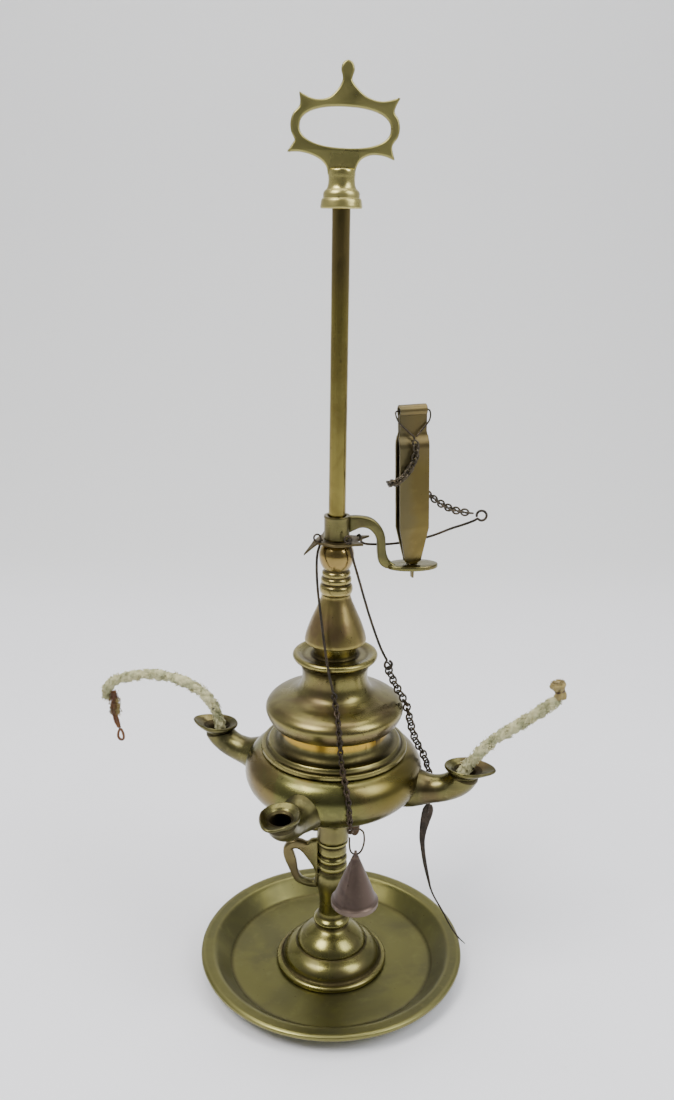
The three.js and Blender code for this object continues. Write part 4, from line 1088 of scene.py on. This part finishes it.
SNUFFER_CHAIN = [
    (-0.3, -25.7, 185.4), (0.3, -26.6, 182.8), (1, -29.6, 180.4), (1.8, -34.8, 177.6), (2.4, -38.6, 173.6),
    (2.8, -40.2, 169.3), (3.2, -40.4, 164.5), (3.9, -41, 157), (4.8, -42.4, 151), (5.7, -43.5, 147.2),
    (6.5, -46.2, 144),
    (7.9, -50.1, 138.4), (8.6, -51.5, 131), (9, -51.6, 125.5), (9.5, -51.6, 120.5),
]
PICK_CHAIN = [
    (28.4, -4.8, 196.6), (29, -4, 193.6), (31, -3.5, 188.4), (34.4, -3.2, 181.2), (37.4, -3, 176), (39.6, -2.8, 171.4),
    (41.2, -2.4, 165.5), (43.2, -2, 157), (46, -2, 148.5), (49.5, -2, 142.2), (52.2, -2, 135.6), (54.1, -1.8, 128),
    (55.2, -1.8, 121), (55.7, -2.2, 114.5),
]
BRACKET_TURN = 8
TWEEZERS_CHAIN = [
    (39, -7, 319), (39.6, -7.3, 314), (38.5, -7.5, 308.5), (35.5, -7.8, 303), (32.2, -8, 299.4), (29.4, -6.6, 297.2),
    (28.1, -3, 296), (28, 0.5, 295.2), (28.9, 4.6, 294.5), (31.9, 7.1, 293.8), (36, 7.7, 292.8), (40, 8.1, 291),
    (45, 8.5, 289.2), (50, 7.8, 287), (53.6, 4.8, 284.6), (57.5, 1.2, 282.4), (62.5, -2, 280.6), (67.5, -4, 279.8),
    (71, -4.9, 279.4),
]
TWEEZERS_CHAIN = [tuple(rotation(BRACKET_TURN, "Z", 3) @ Vector(p)) for p in TWEEZERS_CHAIN]


def chains():
    for name, node, path, material, pitch, shape, seed, doubled in (
        ("snuffer_chain_links", "snuffer_chain", SNUFFER_CHAIN, BROWN_CHAIN, 2.7, (1.85, 1.45, 0.48), 21, True),
        ("pick_chain_links", "pick_chain", PICK_CHAIN, CHAIN, 3.1, (2.3, 2.0, 0.54), 22, False),
        ("tweezers_chain_links", "tweezers_chain", TWEEZERS_CHAIN, LIGHT_CHAIN, 2.3, (2.0, 1.75, 0.54), 23, False),
    ):
        piece, line, total = chain(name, node, path, material, pitch, *shape, seed, doubled)


chains()


# ---- snuffer
SNUFFER_X, SNUFFER_Y = 12.2, -51.6
SEAM_AZIMUTH, SEAM_HALF_WIDTH, SEAM_HEIGHT = 236, 9, 0.32


def snuffer_seam(angle, radius, height):
    """The sheet's overlap, a low ridge from the rim to the top of the cone."""
    away = abs(((math.degrees(angle) - SEAM_AZIMUTH + 180) % 360) - 180)
    return SEAM_HEIGHT * max(0, 1 - away / SEAM_HALF_WIDTH) if 78 < height < 105 and radius > 1.5 else 0


def snuffer():
    line = outline([
        (0, 106.6), (1.7, 106.5), (2.2, 105.2), (7, 93.2), (12, 80.8), (12.7, 80.2), (12.55, 77.5), (11.7, 77.5),
        (11.5, 80.2), (6.4, 92.4), (1.4, 104), (0, 104.2),
    ], False, 50, 0.9, 0.2)
    sides = 96
    cone = revolved(line, sides, False, (SNUFFER_X, SNUFFER_Y), snuffer_seam)
    cone_mesh = mesh_of(cone, np.tile(hollow_score(line, False), sides))
    lug = plate_mesh("lug", ellipse(0, 107.6, 1.9, 2.1, 28), [ellipse(0, 107.9, 0.95, 0.95, 16)], 1.5, 0.3)
    lug.transform(shift(SNUFFER_X, SNUFFER_Y, 0) @ rotation(90, "Z") @ UPRIGHT)
    place("snuffer_cone", join_meshes(cone_mesh, lug), "snuffer", SNUFFER, 40)
    loop = [(8.8, 117.6), (8.9, 113), (9.6, 109.4), (11, 107.9), (12.2, 107.85), (13.4, 107.9), (15.1, 109.8),
            (16.3, 113.5), (16.6, 117.6), (15.8, 121.4), (13.7, 122.9), (11.6, 122.6)]
    wire = rounded_bar(spline([(x, SNUFFER_Y, z) for x, z in loop], 0.5), 0.5, 9)
    make("snuffer_loop_wire", wire, "snuffer_loop", WIRE, sharp=80)


snuffer()


# ---- pick
PICK_Y = -2.3


def pick():
    # Stations: X, Z, half width and half thickness.
    path = [
        (54.8, 108.4, 1.7, 0.5), (54.7, 107, 2.6, 0.6), (54.4, 105, 3.1, 0.6), (54, 102.6, 3.2, 0.6),
        (53, 97.5, 2.8, 0.6),
        (52.2, 92, 2.2, 0.6), (51.8, 86.1, 1.7, 0.6), (52.4, 79.5, 1.3, 0.6), (53.4, 72.8, 1.2, 0.6),
        (54.7, 66.1, 1.05, 0.6), (56.3, 59.4, 0.85, 0.55), (57.9, 52.8, 0.6, 0.5), (60.2, 47, 0.5, 0.45),
        (65.7, 36.8, 0.48, 0.45),
        (70.3, 27.6, 0.45, 0.42), (75.3, 19.4, 0.42, 0.4), (80.1, 14.2, 0.22, 0.22),
    ]
    line = spline(path, 1.0)
    centre = np.array([(x, PICK_Y, z) for x, z, _, _ in line])
    rings = []
    for here, t, (_, _, wide, thick) in zip(centre, tangents_of(centre), line):
        across = np.array((-t[2], 0, t[0]))
        turns = (softened(2 * math.pi * k / 16, 0.7) for k in range(16))
        rings.append([here + across * wide * c + np.array((0, 1, 0)) * thick * s for c, s in turns])
    ring = link(np.array((54.9, -1.9, 108.6)), (0.15, 0.1, 1), np.array((1, 0, -0.15)), 5.7, 1.5, 0.42)
    make("pick_blade", merged([swept(rings), ring]), "pick", BLADE, sharp=50)


pick()


# ---- bracket and tweezers
TURN = rotation(BRACKET_TURN, "Z")
# The tweezers stand in the bracket's rest, this far out from the rod.
REST_OUT = 41.1
TWEEZERS_TURN, TWEEZERS_LEAN = 7, -1.9


def bracket():
    sleeve = ring_of([(5.1, 265.9), (6.95, 265.9), (7.0, 266.8), (6.85, 268), (6.85, 276.8), (7.0, 278), (6.9, 278.8),
                      (5.1, 278.8)], 64, 50, 0.8, 0.25)
    arm_line = outline([
        (6.2, 278.3), (12, 278.2), (18.3, 276.8), (22.8, 273), (25.6, 267.6), (26.8, 257.4), (28.8, 253), (32.6, 250.7),
        (36, 250.6), (36, 248.8), (32, 248.7), (26.4, 248.9), (23, 251.8), (21.8, 257.2), (21, 265.8), (17.4, 270.6),
        (13.2, 271.8), (8.4, 270.2), (6.2, 269.4),
    ], True, 60, 0.6, 0.3)
    arm = plate_mesh("arm", arm_line, [], 4.6, 1.3)
    arm.transform(UPRIGHT)
    slot = ellipse(0, 0, 3, 2.5, 32)
    rest = plate_mesh("rest", ellipse(0, 0, 14.1, 8, 72), [slot], 2.3, 0.6)
    rest.transform(shift(REST_OUT, 0, 249.75))
    mesh = join_meshes(mesh_of(sleeve), arm, rest)
    mesh.transform(TURN)
    place("bracket_arm", mesh, "bracket", CAST, 40)


bracket()


def half_width(height):
    """Half the width of the tweezers' strip: a point, a widening blade and a head."""
    return float(np.interp(height, [-8.2, -0.2, 0.4, 20, 69.2, 71, 87], [0.55, 1.0, 4.3, 8.1, 8.1, 7.3, 7.5]))


def tweezers():
    stand = TURN @ (shift(REST_OUT, 0, 251.2) @ rotation(TWEEZERS_TURN, "Z") @ rotation(TWEEZERS_LEAN, "Y"))
    leg = [(-0.9, -8.2), (-1.0, -4), (-1.1, 0), (-2.4, 10), (-3.7, 20), (-3.7, 42), (-3.7, 64.6), (-3.3, 66),
           (-1.8, 69),
           (-1.4, 70.2), (-1.4, 79.2)]
    loop = []
    for k in range(17):
        c, s = bearing(236 - (236 + 56) * k / 16)
        loop.append((2.5 * c, 82.8 + 2.5 * s))
    back = [(-y, z) for y, z in reversed(leg)]
    dense = []
    for run in (leg, loop, back):
        for (y0, z0), (y1, z1) in zip(run, run[1:]):
            steps = max(1, round(math.hypot(y1 - y0, z1 - z0) / 1.5))
            dense.extend((y0 + (y1 - y0) * k / steps, z0 + (z1 - z0) * k / steps) for k in range(steps))
        if run is back:
            dense.append(run[-1])
    centre = np.array(dense)

    rings = []
    for (y, z), (ty, tz) in zip(centre, tangents_of(centre)):
        normal = np.array((-tz, ty))
        wide = half_width(z)
        edge = min(0.35, wide * 0.5)
        section = [(-wide, -0.3), (-wide + edge, -0.6), (wide - edge, -0.6), (wide, -0.3), (wide, 0.3),
                   (wide - edge, 0.6), (-wide + edge, 0.6), (-wide, 0.3)]
        rings.append([(x, y + normal[0] * t, z + normal[1] * t) for x, t in section])
    mesh = mesh_of(swept(rings))
    mesh.transform(stand)
    place("tweezers_strip", mesh, "tweezers", TOOL, 25)
    side = [(0.8, -4.4, 69.8), (4.4, -3.6, 73.4), (8.2, -2.8, 77.4), (9.3, -1.5, 80.6), (9, -0.2, 82.4), (7.4, 0, 82.8)]
    path = side + [(-x, y, z) for x, y, z in reversed(side)] + [(-0.2, -4.6, 68.2)]
    bail = mesh_of(rounded_bar(spline(path, 0.5), 0.45, 9))
    bail.transform(stand)
    place("tweezers_bail_wire", bail, "tweezers_bail", WIRE, 80)


tweezers()


# ---- studio
SWEEP_RADIUS = 0.55


def backdrop():
    """A pale paper sweep: a floor that curves up into a wall behind, with painted shade that darkens it at the back and
    in front.
    """
    n = Nodes("paper")
    tone = n.mix(n.span(n.noise(3.2, 3, 0.5), 0.3, 0.7), (0.89, 0.885, 0.915), (0.92, 0.915, 0.945))
    # Painted shade: the paper greys towards the back, where it rises into the wall.
    tone = n.mix(n.span(n.axis("Y"), 0.5, 0.85), tone, (0.84, 0.84, 0.84))
    # Painted shade: the floor in front of the lamp is darker.
    tone = n.mix(n.span(n.axis("Y"), -0.12, -0.3), tone, (0.78, 0.8, 0.815))
    tone = n.mix(n.span(n.noise(45, 4, 0.6), 0.66, 0.8, 0, 0.25), tone, (0.74, 0.735, 0.73))
    n.link(tone, n.shader.inputs["Base Color"])
    n.shader.inputs["Roughness"].default_value = 0.85
    n.shader.inputs["Specular IOR Level"].default_value = 0.15
    n.link(n.bump(n.noise(700, 4, 0.6), 0.08, 0.0004), n.shader.inputs["Normal"])
    profile = [(-2.6, 0), (0.75, 0)]
    for c, s in (bearing(a) for a in range(6, 91, 6)):
        profile.append((0.75 + SWEEP_RADIUS * s, SWEEP_RADIUS - SWEEP_RADIUS * c))
    profile.append((1.3, 2.4))
    points = [(x, y, z) for x in (-2.6, 2.6) for y, z in profile]
    m = len(profile)
    mesh = bpy.data.meshes.new("sweep")
    mesh.from_pydata(points, [], [(k, m + k, m + k + 1, k + 1) for k in range(m - 1)])
    mesh.shade_smooth()
    mesh.materials.append(n.material)
    sweep = link_in("sweep", mesh)


def area_light(name, place_at, aim, size, power, colour):
    data = bpy.data.lights.new(name, "AREA")
    data.shape = "RECTANGLE"
    data.size, data.size_y = size
    data.energy = power
    data.color = colour
    light = link_in(name, data)
    light.location = place_at
    light.rotation_euler = (Vector(aim) - Vector(place_at)).to_track_quat("-Z", "Y").to_euler()


def studio():
    world = bpy.data.worlds.new("studio")
    bpy.context.scene.world = world
    world.use_nodes = True
    tree = world.node_tree
    background = tree.nodes["Background"]
    coordinates = tree.nodes.new("ShaderNodeTexCoord")
    split = tree.nodes.new("ShaderNodeSeparateXYZ")
    tree.links.new(coordinates.outputs["Generated"], split.inputs[0])
    ramp = tree.nodes.new("ShaderNodeMapRange")
    for name, number in (("From Min", -0.9), ("From Max", 0.5), ("To Min", 0.2), ("To Max", 0.75)):
        ramp.inputs[name].default_value = number
    tree.links.new(split.outputs["Y"], ramp.inputs["Value"])
    background.inputs["Color"].default_value = (0.93, 0.96, 1.0, 1)
    tree.links.new(ramp.outputs["Result"], background.inputs["Strength"])
    area_light("key", (-0.75, -0.55, 1.5), (0, 0, 0.12), (0.7, 0.7), 23, (1.0, 0.985, 0.97))
    area_light("fill", (0.95, -0.5, 1.15), (0, 0, 0.15), (0.6, 0.9), 14, (0.96, 0.98, 1.0))
    area_light("top", (0.0, 0.35, 1.7), (0, 0, 0.1), (1.6, 0.9), 18, (1.0, 0.99, 0.98))


backdrop()
studio()
